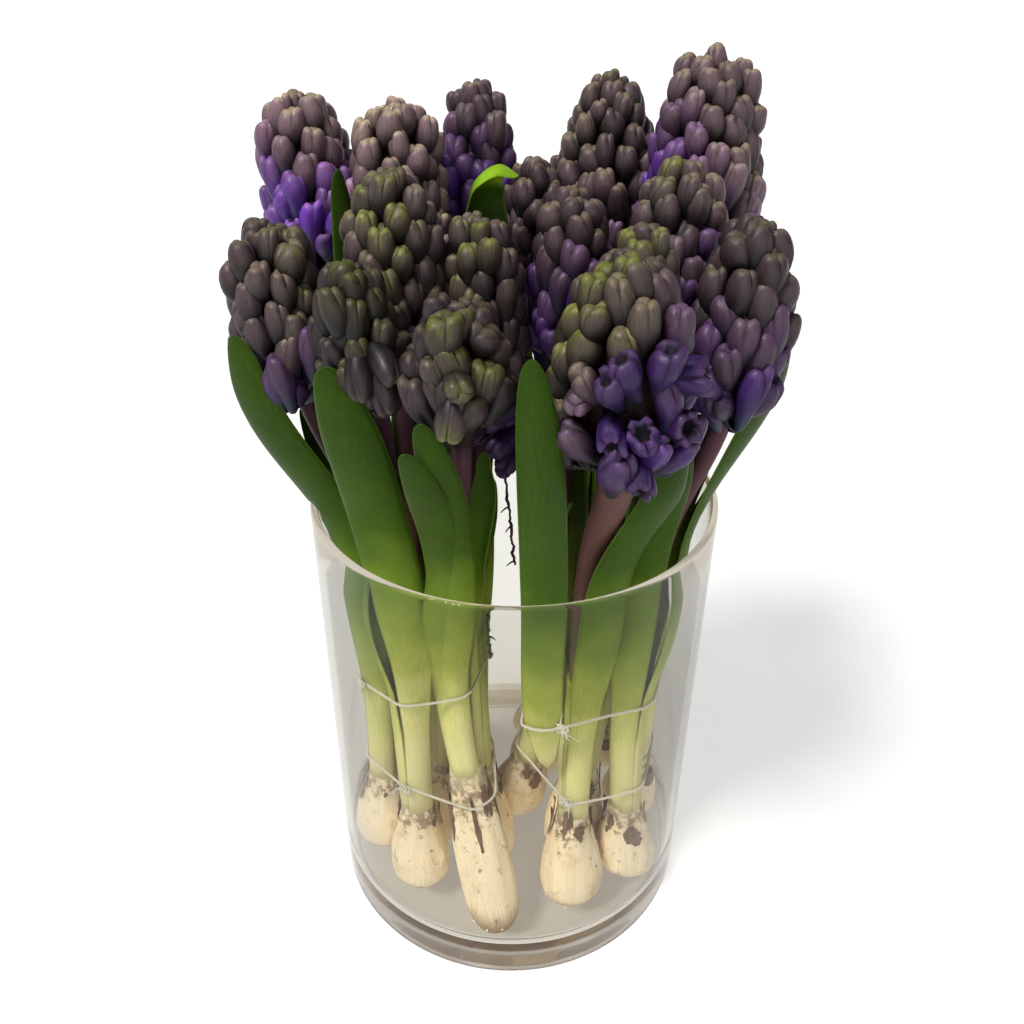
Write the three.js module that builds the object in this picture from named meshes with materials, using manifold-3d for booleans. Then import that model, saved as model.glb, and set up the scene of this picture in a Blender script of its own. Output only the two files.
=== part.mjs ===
// Sixteen hyacinths on their bulbs, tied in two bunches that stand in a glass cylinder vase.
// Millimetres, +Z up. The origin is the centre of the vase's underside; -Y is the front.
import * as THREE from "three";
import { mergeVertices } from "three/addons/utils/BufferGeometryUtils.js";
import Module from "manifold-3d";

const wasm = await Module();
wasm.setup();

// ---------- driving dimensions ----------
const GAP = 0.3; // clearance that neighbouring solids keep
const VASE = {
  radius: 95,
  height: 238,
  wall: 3.5,
  floor: 18, // thickness of the heavy glass base
  footRound: 4,
  floorRound: 9,
  sides: 36,
};
const BULB = { radius: 15.6, neck: 7.6, sides: 7 };
const FOOT_Z = VASE.floor + GAP;
const SHEATH = { radius: 7.6, topRadius: 8.8, top: 128, sides: 7 }; // the leaves' joined pale bases
const SCAPE = { radius: 4.2, sides: 6 }; // the flower stem
const BENDS = [172, 236]; // heights at which stems and blades alike have a station
const LEAF = {
  thick: 1.2,
  rootWidth: 0.5, // share of the full width at the root
  rootRadius: 6.4, // how far the blade stands from its stem at the root, and at the tie
  tieRadius: 9.6,
  opening: 0.8, // share of the square in how a blade leaves its stem above the tie, the rest being the cube
  root: 108,
};
const BUD = { length: 24, width: 17, sides: 5, mostUp: 84 };
const TIE = { upperZ: 135, lowerZ: 81, thick: 0.8, sides: 4, steps: 26, ring: 25.2 };
const RIM = { z: 232, reach: 75 }; // how far from the vase's axis a stem may pass the rim
const GOLDEN_ANGLE = THREE.MathUtils.degToRad(137.508);

// The two bunches: where each is centred at its upper tie.
const BUNCH = { left: [-46, -3], right: [44, -11] };

// Each plant: its bunch, its angle round the tie (none for the one in the middle), its bulb's place,
// the raceme's centre, length, radius, lean (sideways run per mm of rise), buds and droop of the lowest bud,
// and its leaves: [angle at the root, tip x, tip y, tip z, width, angle faced at the tip, a point passed].
// Some have the place of their stem at the rim, its radius, or the width of the raceme's hem.
const PLANTS = {
  A: {
    bunch: "left", at: 206, foot: [-71.3, -18.2], rim: [-71.5, -12.5],
    head: [-94, -16, 327], long: 78, wide: 23, lean: [-0.1, -0.04],
    buds: 13, droop: 10, hem: 0.3,
    leaves: [
      [268, -110.8, -38, 326, 21, 262, [-95.8, -31, 271.8]],
      [120, -98, -6, 282, 15],
      [75, -78, 12, 292, 15],
    ],
  },
  B: {
    bunch: "left", at: 154, foot: [-62, 22],
    head: [-95, 53, 365], long: 76, wide: 24, lean: [-0.12, 0.05],
    buds: 13, droop: 0,
    leaves: [
      [130, -112, 80, 374, 18, 160, [-99, 72, 320]],
      [290, -73, 20, 376, 15],
    ],
  },
  C: {
    bunch: "left", at: 103, foot: [-32, 58],
    head: [-51, 37, 365], long: 74, wide: 20.5, lean: [0, 0.05],
    buds: 12, droop: 15,
    leaves: [
      [100, -52, 66, 324, 20],
      [330, -36, 26, 316, 17],
    ],
  },
  D: {
    bunch: "left", at: 51, foot: [-28, 20],
    head: [-19, 66, 366], long: 78, wide: 19, lean: [0.03, 0.08],
    buds: 11, droop: 10,
    leaves: [
      [300, -14, 25, 379, 18],
      [60, -2, 90, 326, 20],
      [180, -38, 76, 318, 17],
    ],
  },
  E: {
    bunch: "left", foot: [-39.2, -13.5],
    head: [-50, -8, 349], long: 74, wide: 20.5, lean: [0, 0],
    buds: 12, droop: 15,
    leaves: [
      [170, -62, -6, 296, 16],
      [350, -36, -8, 292, 16],
    ],
  },
  F: {
    bunch: "left", at: 0, foot: [-13, -32],
    head: [-14.5, -7, 318], long: 104, wide: 18, lean: [0, 0],
    buds: 14, droop: -15,
    leaves: [
      [250, -9, -29, 256, 14, 280, [-15.4, -28, 225.5]],
      [80, -20, 14, 262, 16],
    ],
  },
  G: {
    bunch: "left", at: 257, foot: [-48, -45],
    head: [-59, -45, 328], long: 66, wide: 18, lean: [-0.12, -0.1],
    buds: 10, droop: 10, hem: 0.4,
    leaves: [
      [300, -71, -68, 325, 26, 280, [-62.6, -59, 285]],
      [190, -78, -38, 300, 18],
    ],
  },
  H: {
    bunch: "left", at: 309, foot: [-7, -73],
    head: [-21, -68, 323], long: 66, wide: 20.5, lean: [0, -0.15],
    buds: 12, droop: 5, hem: 0.4,
    leaves: [
      [240, -40.3, -92, 302, 17, 280, [-31.9, -76, 267]],
      [285, -33.9, -88, 312, 18, 285, [-27.7, -78, 281.5]],
      [60, -8, -48, 284, 16],
    ],
  },
  I: {
    bunch: "right", at: 147, foot: [14, 35],
    head: [9.5, 43.5, 342], long: 72, wide: 16.8, lean: [-0.05, 0.08],
    buds: 9, droop: 15,
    leaves: [
      [120, -4, 66, 306, 17],
      [30, 18, 34, 296, 15],
    ],
  },
  J: {
    bunch: "right", at: 196, foot: [2, 5],
    head: [22.4, 0, 338], long: 80, wide: 18.6, lean: [-0.03, 0],
    buds: 11, droop: 5,
    leaves: [
      [230, 12, -20, 288, 17],
      [50, 34, 12, 290, 16],
    ],
  },
  K: {
    bunch: "right", at: 100, foot: [16, 68.2],
    head: [40, 82, 364], long: 88, wide: 25, lean: [-0.02, 0.08],
    buds: 14, droop: 15,
    leaves: [
      [95, 40, 114, 332, 22],
      [200, 12, 84, 316, 18],
      [330, 56, 62, 310, 17],
    ],
  },
  L: {
    bunch: "right", at: 51, foot: [54, 44],
    head: [84, 55, 374], long: 94, wide: 25, lean: [0.02, 0.08],
    buds: 15, droop: 10,
    leaves: [
      [110, 88, 92, 334, 21],
      [200, 64, 66, 312, 17],
      [330, 106, 42, 330, 18],
    ],
  },
  M: {
    bunch: "right", at: 0, foot: [70, 6],
    head: [67, 7, 346], long: 82, wide: 21.2, lean: [0, 0],
    buds: 13, droop: 10,
    leaves: [
      [70, 84, 24, 300, 17],
      [190, 52, 10, 296, 16],
    ],
  },
  N: {
    bunch: "right", foot: [34, -22],
    head: [48, -29, 336], long: 72, wide: 17, lean: [0, -0.05],
    buds: 9, droop: 15,
    leaves: [
      [160, 34, -24, 292, 15],
      [350, 62, -26, 286, 15],
    ],
  },
  O: {
    bunch: "right", at: 305, foot: [64, -36],
    head: [91.5, -27.5, 329], long: 92, wide: 21.5, lean: [0.03, 0],
    buds: 14, droop: -10,
    leaves: [
      [345, 118.3, -7.5, 320, 20, 330, [105.5, -14, 282]],
      [250, 71.5, -42, 287, 20, 285, [64.2, -45, 256.5]],
      [60, 92, 2, 290, 16],
    ],
  },
  P: {
    bunch: "right", at: 246, foot: [31.5, -56], rim: [34.3, -49], thick: 6.2,
    head: [41, -72, 328], long: 90, wide: 25, lean: [-0.08, -0.02],
    buds: 16, droop: -25,
    leaves: [
      [300, 69, -57.5, 297, 19, 285, [56, -66.5, 264]],
      [150, 18, -52, 262, 15],
    ],
  },
};
const TALL_BULB = 92; // top of the one long bulb at the front, H
const BULB_TOPS = [70, 74, 67, 72]; // tops of the other bulbs, in turn

// ---------- meshes and solids ----------
const degrees = THREE.MathUtils.degToRad;

// A closed solid made from a geometry's positions alone.
function solidOf(geometry) {
  const bare = geometry.clone();
  for (const name of Object.keys(bare.attributes)) {
    if (name !== "position") bare.deleteAttribute(name);
  }
  const merged = mergeVertices(bare, 1e-3);
  return new wasm.Manifold(
    new wasm.Mesh({
      numProp: 3,
      vertProperties: merged.attributes.position.array,
      triVerts: new Uint32Array(merged.index.array),
    }),
  );
}

function geometryOf(solid) {
  const mesh = solid.getMesh();
  const geometry = new THREE.BufferGeometry();
  geometry.setAttribute("position", new THREE.BufferAttribute(mesh.vertProperties, 3));
  geometry.setIndex(new THREE.BufferAttribute(mesh.triVerts, 1));
  geometry.computeVertexNormals();
  return geometry;
}

const fused = (solids) => solids.reduce((whole, piece) => whole.add(piece));

function geometryFrom(points, triangles) {
  const geometry = new THREE.BufferGeometry();
  geometry.setFromPoints(points);
  geometry.setIndex(triangles);
  return geometry;
}

// A closed body through rings of points that run anticlockwise seen from the last ring back.
function loft(rings) {
  const n = rings[0].length;
  const points = rings.flat();
  const triangles = [];
  for (let r = 0; r + 1 < rings.length; r++) {
    for (let i = 0; i < n; i++) {
      const a = r * n + i;
      const b = r * n + ((i + 1) % n);
      triangles.push(a, b, b + n, a, b + n, a + n);
    }
  }
  const last = (rings.length - 1) * n;
  for (let i = 1; i + 1 < n; i++) {
    triangles.push(0, i + 1, i, last, last + i, last + i + 1);
  }
  return geometryFrom(points, triangles);
}

// A level ring of points round a centre.
function ringAt(centre, z, radius, sides, turn = 0) {
  return Array.from({ length: sides }, (_, i) => {
    const angle = turn + (2 * Math.PI * i) / sides;
    return new THREE.Vector3(centre.x + radius * Math.cos(angle), centre.y + radius * Math.sin(angle), z);
  });
}

// ---------- where a plant's stem runs ----------
function tiePoint(plant) {
  const [x, y] = BUNCH[plant.bunch];
  if (plant.at === undefined) return new THREE.Vector2(x, y);
  const angle = degrees(plant.at);
  return new THREE.Vector2(x + TIE.ring * Math.cos(angle), y + TIE.ring * Math.sin(angle));
}

// The stem's line as knots up the plant: bulb foot, tie, rim, raceme's base and tip, with their slopes.
function stemKnots(plant) {
  const [x, y, z] = plant.head;
  const lean = new THREE.Vector2(...plant.lean);
  const centre = new THREE.Vector2(x, y);
  const base = centre.clone().addScaledVector(lean, -plant.long / 2);
  const tip = centre.clone().addScaledVector(lean, plant.long / 2);
  const tie = tiePoint(plant);
  const baseZ = z - plant.long / 2;
  const rim = tie.clone().lerp(base, (RIM.z - TIE.upperZ) / (baseZ - TIE.upperZ));
  rim.clampLength(0, RIM.reach);
  if (plant.rim) rim.set(...plant.rim);
  const places = [new THREE.Vector2(...plant.foot), tie, rim, base, tip];
  const heights = [FOOT_Z, TIE.upperZ, RIM.z, baseZ, z + plant.long / 2];
  const runs = places.slice(1).map((place, i) =>
    place.clone().sub(places[i]).divideScalar(heights[i + 1] - heights[i]),
  );
  runs.push(lean);
  const slopes = runs.map((run, i) => (i ? run.clone().add(runs[i - 1]).multiplyScalar(0.5) : run.clone()));
  slopes[3] = runs[2].clone().add(lean).multiplyScalar(0.5);
  slopes[4] = lean;
  return { places, heights, slopes };
}

// The stem's centre at a height, by cubic Hermite steps between the knots.
function stemAt(plant, z) {
  const { places, heights, slopes } = plant.knots;
  let i = 0;
  while (i < 3 && z > heights[i + 1]) i++;
  const step = heights[i + 1] - heights[i];
  const t = (z - heights[i]) / step;
  if (t > 1) return places[i + 1].clone().addScaledVector(slopes[i + 1], z - heights[i + 1]);
  return new THREE.Vector2()
    .addScaledVector(places[i], 2 * t ** 3 - 3 * t ** 2 + 1)
    .addScaledVector(slopes[i], step * (t ** 3 - 2 * t ** 2 + t))
    .addScaledVector(places[i + 1], 3 * t ** 2 - 2 * t ** 3)
    .addScaledVector(slopes[i + 1], step * (t ** 3 - t ** 2));
}

// ---------- the vase ----------
function vase() {
  const { radius, height, wall, floor, footRound, floorRound, sides } = VASE;
  const inner = radius - wall;
  const lip = wall / 2;
  const quarter = (cx, cy, r, from, to) =>
    [0, 0.5, 1].map((t) => {
      const angle = degrees(from + (to - from) * t);
      return new THREE.Vector2(cx + r * Math.cos(angle), cy + r * Math.sin(angle));
    });
  const profile = [
    new THREE.Vector2(0, 0),
    ...quarter(radius - footRound, footRound, footRound, -90, 0),
    ...quarter(radius - lip, height - lip, lip, 0, 180),
    ...quarter(inner - floorRound, floor + floorRound, floorRound, 0, -90),
    new THREE.Vector2(0, floor),
  ];
  return new THREE.LatheGeometry(profile, sides).rotateX(Math.PI / 2);
}

// ---------- bulbs ----------
// Share of the bulb's height, and of the way from neck to full radius, up its outline.
const BULB_OUTLINE = [
  [0, 0.25],
  [0.08, 0.8],
  [0.32, 1],
  [0.7, 0.45],
  [1, 0],
];

function bulbRadius(plant, z) {
  const share = (z - FOOT_Z) / (plant.bulbTop - FOOT_Z);
  const i = Math.max(1, BULB_OUTLINE.findIndex(([height]) => height >= share));
  const [h0, r0] = BULB_OUTLINE[i - 1];
  const [h1, r1] = BULB_OUTLINE[i];
  return BULB.neck + (BULB.radius - BULB.neck) * THREE.MathUtils.mapLinear(share, h0, h1, r0, r1);
}

function bulb(plant) {
  return loft(
    BULB_OUTLINE.map(([share]) => {
      const z = THREE.MathUtils.lerp(FOOT_Z, plant.bulbTop, share);
      return ringAt(stemAt(plant, z), z, bulbRadius(plant, z), BULB.sides);
    }),
  );
}

// ---------- leaves ----------
// A blade along its centre points: each station has a centre, a side direction, an outward one and a width.
// It is three points wide and folds gently along its keel; both faces are split alike.
function blade(stations) {
  const points = [];
  for (const { centre, side, outward, width, fold } of stations) {
    for (const face of [0.5, -0.5]) {
      for (const across of [-1, 0, 1]) {
        points.push(
          centre
            .clone()
            .addScaledVector(side, (across * width) / 2)
            .addScaledVector(outward, LEAF.thick * face - Math.abs(across) * fold),
        );
      }
    }
  }
  const triangles = [];
  const quad = (a, b, c, d) => triangles.push(a, b, c, a, c, d);
  for (let s = 0; s + 1 < stations.length; s++) {
    const o = s * 6;
    const n = o + 6;
    for (const i of [0, 1]) {
      quad(o + i, o + i + 1, n + i + 1, n + i); // outer face
      triangles.push(o + 3 + i, n + 4 + i, o + 4 + i); // inner face, with the same diagonal
      triangles.push(o + 3 + i, n + 3 + i, n + 4 + i);
    }
    quad(o + 3, o, n, n + 3); // one edge
    quad(o + 2, o + 5, n + 5, n + 2); // the other edge
  }
  const end = (stations.length - 1) * 6;
  triangles.push(0, 3, 4, 0, 4, 1, 1, 4, 5, 1, 5, 2);
  triangles.push(end, end + 4, end + 3, end, end + 1, end + 4);
  triangles.push(end + 1, end + 5, end + 4, end + 1, end + 2, end + 5);
  return geometryFrom(points, triangles);
}

// A blade's width along it, as a share of its full width: narrow at the root, blunt at the tip.
function bladeWidth(share) {
  const root = LEAF.rootWidth + (1 - LEAF.rootWidth) * Math.min(1, share / 0.45);
  const tip = Math.sqrt(Math.max(0, 1 - Math.max(0, (share - 0.72) / 0.28) ** 2.4));
  return root * Math.max(tip, 0.28);
}

// The heights of a blade's stations: those of its stem, then closer together towards the tip.
function bladeHeights(tipZ) {
  const free = [0.45, 0.82, 1].map((share) => THREE.MathUtils.lerp(BENDS.at(-1), tipZ, share));
  return [LEAF.root, SHEATH.top, ...BENDS, ...free];
}

const tieRadius = (plant) => LEAF.tieRadius + (plant.thick ?? SCAPE.radius) - SCAPE.radius;
const away = (angle) => new THREE.Vector2(Math.cos(degrees(angle)), Math.sin(degrees(angle)));

// How a blade parts from its stem above the tie: the sideways run that goes with the square of its rise
// and the one that goes with the cube, such that it passes its middle point (if given) and ends at its tip.
function leafOpening(plant, rootAngle, tip, via) {
  const start = away(rootAngle).multiplyScalar(tieRadius(plant));
  const whole = new THREE.Vector2(tip[0], tip[1]).sub(stemAt(plant, tip[2])).sub(start);
  if (via === undefined) {
    return [whole.clone().multiplyScalar(LEAF.opening), whole.clone().multiplyScalar(1 - LEAF.opening)];
  }
  const up = (via[2] - TIE.upperZ) / (tip[2] - TIE.upperZ);
  const part = new THREE.Vector2(via[0], via[1]).sub(stemAt(plant, via[2])).sub(start);
  const cube = part.addScaledVector(whole, -(up ** 2)).divideScalar(up ** 3 - up ** 2);
  return [whole.sub(cube), cube];
}

function leafStations(plant, [rootAngle, tipX, tipY, tipZ, width, face, via]) {
  const [square, cube] = leafOpening(plant, rootAngle, [tipX, tipY, tipZ], via);
  const offsetAt = (z) => {
    const up = Math.max(0, (z - TIE.upperZ) / (tipZ - TIE.upperZ));
    const rise = Math.min(1, (z - LEAF.root) / (TIE.upperZ - LEAF.root));
    const radius = THREE.MathUtils.lerp(LEAF.rootRadius, tieRadius(plant), rise);
    const start = away(rootAngle).multiplyScalar(radius);
    return start.addScaledVector(square, up ** 2).addScaledVector(cube, up ** 3);
  };
  const centreAt = (z) => {
    const flat = stemAt(plant, z).add(offsetAt(z));
    return new THREE.Vector3(flat.x, flat.y, z);
  };
  return bladeHeights(tipZ).map((z) => {
    const share = (z - LEAF.root) / (tipZ - LEAF.root);
    const along = centreAt(z + 1).sub(centreAt(z - 1)).normalize();
    const offset = offsetAt(Math.min(z, tipZ - 8)).normalize();
    if (face !== undefined) offset.lerp(away(face), share ** 1.5).normalize();
    const outward = new THREE.Vector3(offset.x, offset.y, 0);
    outward.addScaledVector(along, -outward.dot(along)).normalize();
    const side = new THREE.Vector3().crossVectors(along, outward);
    const across = width * bladeWidth(share);
    const fold = across * THREE.MathUtils.lerp(0.28, 0.1, share);
    return { centre: centreAt(z), side, outward, width: across * 0.94, fold };
  });
}

function sheath(plant) {
  const rings = [
    [plant.bulbTop + GAP, SHEATH.radius],
    [LEAF.root, SHEATH.topRadius],
    [SHEATH.top, SHEATH.radius],
  ];
  return loft(rings.map(([z, radius]) => ringAt(stemAt(plant, z), z, radius, SHEATH.sides)));
}

function leaves(plant) {
  const blades = plant.leaves.map((leaf) => solidOf(blade(leafStations(plant, leaf))));
  return geometryOf(fused([solidOf(sheath(plant)), ...blades]));
}

// The loose leaf held under the right bunch's tie: a chain of centre points and its width.
const LOOSE = {
  points: [[18, -49.5, 104], [14, -62, 160], [12.5, -82, 232], [9, -91, 300], [5, -93, 341]],
  width: 20,
  outward: [0, -1, 0],
};

function looseLeaf() {
  const line = new THREE.CatmullRomCurve3(LOOSE.points.map((point) => new THREE.Vector3(...point)));
  const stations = Array.from({ length: 9 }, (_, i) => {
    const share = i / 8;
    const along = line.getTangentAt(share);
    const outward = new THREE.Vector3(...LOOSE.outward);
    outward.addScaledVector(along, -outward.dot(along)).normalize();
    const side = new THREE.Vector3().crossVectors(along, outward);
    const blunt = Math.min(1, 0.25 + share * 5);
    const across = LOOSE.width * blunt * bladeWidth(Math.max(share, 0.45));
    return { centre: line.getPointAt(share), side, outward, width: across, fold: across * 0.12 };
  });
  return blade(stations);
}

// ---------- flowers ----------
// The core's radius, in the raceme's, at shares of its height.
const CORE = [
  [0.06, 0.42],
  [0.34, 0.66],
  [0.66, 0.6],
  [0.88, 0.36],
];

// How wide a raceme is at a share of its height, against its full radius; hem is its width at the bottom.
function racemeWidth(share, hem = 0.85) {
  if (share < 0.38) return hem + (1 - hem) * Math.sin((share / 0.38) * (Math.PI / 2));
  return Math.sqrt(Math.max(0, 1 - ((share - 0.38) / 0.68) ** 2));
}

// The stem, swelling into the raceme's core.
function stemAndCore(plant) {
  const thick = plant.thick ?? SCAPE.radius;
  const baseZ = plant.head[2] - plant.long / 2;
  const ring = (z, radius) => ringAt(stemAt(plant, z), z, radius, SCAPE.sides);
  const stem = [SHEATH.top + GAP, ...BENDS, baseZ - 14].map((z) => ring(z, thick));
  const core = CORE.map(([share, size]) => ring(baseZ + plant.long * share, plant.wide * size));
  return loft([...stem, ...core]);
}

// A bud: a small blunt spindle, standing on +Z with its tip at the origin.
function bud(length, width) {
  const { sides } = BUD;
  const profile = [
    [0, -length],
    [width * 0.5, -length * 0.42],
    [width * 0.28, 0],
    [0, 0],
  ];
  const outline = profile.map(([x, y]) => new THREE.Vector2(x, y));
  return new THREE.LatheGeometry(outline, sides).rotateX(Math.PI / 2);
}

// Buds by the golden angle up the raceme: the lowest point outwards or hang, and the top ones stand up.
function buds(plant) {
  const baseZ = plant.head[2] - plant.long / 2;
  return Array.from({ length: plant.buds }, (_, i) => {
    const share = (i + 0.5) / plant.buds;
    const height = 0.04 + 0.96 * share;
    const angle = i * GOLDEN_ANGLE + plant.turn;
    const rise = degrees(THREE.MathUtils.lerp(plant.droop, BUD.mostUp, share ** 0.75));
    const level = new THREE.Vector3(Math.cos(angle), Math.sin(angle), 0);
    const out = level.clone().multiplyScalar(Math.cos(rise)).setZ(Math.sin(rise));
    const z = baseZ + plant.long * height;
    const centre = stemAt(plant, z);
    const radius = plant.wide * racemeWidth(height, plant.hem) * (i === plant.buds - 1 ? 0.2 : 1);
    const tip = new THREE.Vector3(centre.x, centre.y, z).addScaledVector(level, radius);
    const size = (0.82 + 0.18 * (1 - share)) * (plant.wide / 22) ** 0.5;
    const shape = bud(BUD.length * size, BUD.width * size);
    const turn = new THREE.Quaternion().setFromUnitVectors(new THREE.Vector3(0, 0, 1), out);
    return solidOf(shape.applyQuaternion(turn).translate(tip.x, tip.y, tip.z));
  });
}

function flower(plant) {
  return geometryOf(fused([solidOf(stemAndCore(plant)), ...buds(plant)]));
}

// ---------- ties ----------
// The convex outline of a set of plane points, anticlockwise.
function hull(points) {
  const sorted = [...points].sort((a, b) => a.x - b.x || a.y - b.y);
  const turns = (o, a, b) => (a.x - o.x) * (b.y - o.y) - (a.y - o.y) * (b.x - o.x);
  const half = (list) => {
    const chain = [];
    for (const point of list) {
      while (chain.length > 1 && turns(chain.at(-2), chain.at(-1), point) <= 0) chain.pop();
      chain.push(point);
    }
    return chain.slice(0, -1);
  };
  return [...half(sorted), ...half(sorted.reverse())];
}

// The points where a body's edges cross a height.
function crossings(geometry, z) {
  const { position } = geometry.attributes;
  const corner = (i) => new THREE.Vector3().fromBufferAttribute(position, geometry.index.getX(i));
  const found = [];
  for (let i = 0; i < geometry.index.count; i++) {
    const from = corner(i);
    const to = corner(i % 3 === 2 ? i - 2 : i + 1);
    if (from.z < z !== to.z < z) found.push(from.lerp(to, (z - from.z) / (to.z - from.z)));
  }
  return found;
}

// A string drawn tight round bodies at a height, with a knot at one bearing and two short ends.
function tie(bodies, z, knotAngle) {
  const reach = TIE.thick + GAP + 1.5;
  const touched = bodies.flatMap((body) => [-1.5, 0, 1.5].flatMap((step) => crossings(body, z + step)));
  const round = touched.flatMap((point) => ringAt(point, z, reach, 12));
  const outline = hull(round).map((point) => new THREE.Vector3(point.x, point.y, z));
  const path = new THREE.CurvePath();
  outline.forEach((point, i) => path.add(new THREE.LineCurve3(point, outline[(i + 1) % outline.length])));
  const points = path.getSpacedPoints(TIE.steps).slice(0, TIE.steps);
  const loop = new THREE.CatmullRomCurve3(points, true);
  const string = new THREE.TubeGeometry(loop, TIE.steps, TIE.thick, TIE.sides, true);
  const middle = new THREE.Vector3();
  points.forEach((point) => middle.addScaledVector(point, 1 / points.length));
  const bearing = (point) => Math.atan2(point.y - middle.y, point.x - middle.x);
  const miss = (point) => 1 - Math.cos(bearing(point) - knotAngle);
  const place = points.reduce((best, point) => (miss(point) < miss(best) ? point : best));
  const outward = place.clone().sub(middle).normalize();
  const knot = new THREE.IcosahedronGeometry(TIE.thick * 2.2, 0).translate(
    place.x + outward.x * TIE.thick * 1.6,
    place.y + outward.y * TIE.thick * 1.6,
    z,
  );
  const ends = [-1, 1].map((way) => {
    const end = new THREE.CylinderGeometry(TIE.thick * 0.5, TIE.thick, 9, 4).translate(0, 4.5, 0);
    end.rotateX(Math.PI / 2).rotateY(way * 0.6).rotateX(way < 0 ? Math.PI * 0.95 : 0.1);
    return end.translate(place.x + outward.x * 2, place.y + outward.y * 2, z);
  });
  return geometryOf(fused([string, knot, ...ends].map(solidOf)));
}

// ---------- the whole object ----------
const finish = (color, roughness, extra = {}) =>
  new THREE.MeshStandardMaterial({ color, roughness, metalness: 0, ...extra });
const FINISHES = {
  glass: finish(0xe8eeea, 0.05, { transparent: true, opacity: 0.3 }),
  bulb: finish(0xe3cf9f, 0.6),
  leaf: finish(0x4a7a22, 0.45),
  flower: finish(0x54415f, 0.55),
  string: finish(0xcfc6ac, 0.9),
};

const hyacinths = new THREE.Group();
function place(name, geometry, material) {
  const mesh = new THREE.Mesh(geometry, material);
  mesh.name = name;
  hyacinths.add(mesh);
}

place("vase", vase(), FINISHES.glass);
const standing = { left: [], right: [] }; // what each bunch's ties go round
Object.entries(PLANTS).forEach(([letter, plant], i) => {
  plant.knots = stemKnots(plant);
  plant.turn = i * 0.7;
  plant.bulbTop = letter === "H" ? TALL_BULB : BULB_TOPS[i % BULB_TOPS.length];
  const parts = { bulb: bulb(plant), leaves: leaves(plant), flower: flower(plant) };
  place(`bulb_${letter}`, parts.bulb, FINISHES.bulb);
  place(`leaves_${letter}`, parts.leaves, FINISHES.leaf);
  place(`flower_${letter}`, parts.flower, FINISHES.flower);
  standing[plant.bunch].push(parts.bulb, parts.leaves);
});
const loose = looseLeaf();
place("loose_leaf", loose, FINISHES.leaf);
standing.right.push(loose);
const KNOTS = { left: [200, 250], right: [235, 255] }; // bearings of the upper and the lower knot
for (const [bunch, [upper, lower]] of Object.entries(KNOTS)) {
  place(`upper_tie_${bunch}`, tie(standing[bunch], TIE.upperZ, degrees(upper - 360)), FINISHES.string);
  place(`lower_tie_${bunch}`, tie(standing[bunch], TIE.lowerZ, degrees(lower - 360)), FINISHES.string);
}

export default hyacinths;
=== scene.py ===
"""Sixteen hyacinths on their bulbs, tied in two bunches that stand in a glass cylinder vase."""
import math

import bpy
import numpy as np
from mathutils import Matrix, Vector


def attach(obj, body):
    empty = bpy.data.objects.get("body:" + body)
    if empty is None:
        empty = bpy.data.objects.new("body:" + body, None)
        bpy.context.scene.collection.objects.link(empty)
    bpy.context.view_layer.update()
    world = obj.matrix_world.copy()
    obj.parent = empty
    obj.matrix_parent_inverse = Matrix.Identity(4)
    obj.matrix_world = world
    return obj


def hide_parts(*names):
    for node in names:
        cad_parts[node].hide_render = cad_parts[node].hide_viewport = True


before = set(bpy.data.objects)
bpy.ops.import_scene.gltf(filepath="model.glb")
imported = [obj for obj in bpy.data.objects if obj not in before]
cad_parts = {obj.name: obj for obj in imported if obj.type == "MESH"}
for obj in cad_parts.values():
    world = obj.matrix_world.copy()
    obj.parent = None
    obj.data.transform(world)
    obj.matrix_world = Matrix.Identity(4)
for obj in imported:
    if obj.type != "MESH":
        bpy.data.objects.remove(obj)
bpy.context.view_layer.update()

# ---------- driving dimensions, in millimetres ----------
MM = 0.001
VASE = dict(radius=95, height=238, wall=3.5, floor=18, foot_round=4, floor_round=9, sides=144)
BULB = dict(radius=15.6, neck=7.6, foot_z=18.3)
SHEATH_TOP = 150  # the leaves' joined pale bases end here, out of sight between the blades
STEM = dict(radius=4.2, bottom=120)
LEAF = dict(root=108, root_width=0.5, thick=1.5, opening=0.8, tie_radius=9.6, steps=60)
TIE = dict(upper=135, lower=81, ring=25.2)
RIM = dict(z=232, reach=75)
BUD = dict(length=24, least=17, most_up=87, density=0.040, slender=1.2, clear=8.5)
GOLDEN_ANGLE = math.radians(137.508)
BUNCHES = {"left": (-46, -3), "right": (44, -11)}
# A bulb's outline: shares of its height, and how far it has swelled there from its neck to its full radius.
BULB_OUTLINE = [(0, 0.25), (0.08, 0.8), (0.32, 1), (0.7, 0.45), (1, 0)]

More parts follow.
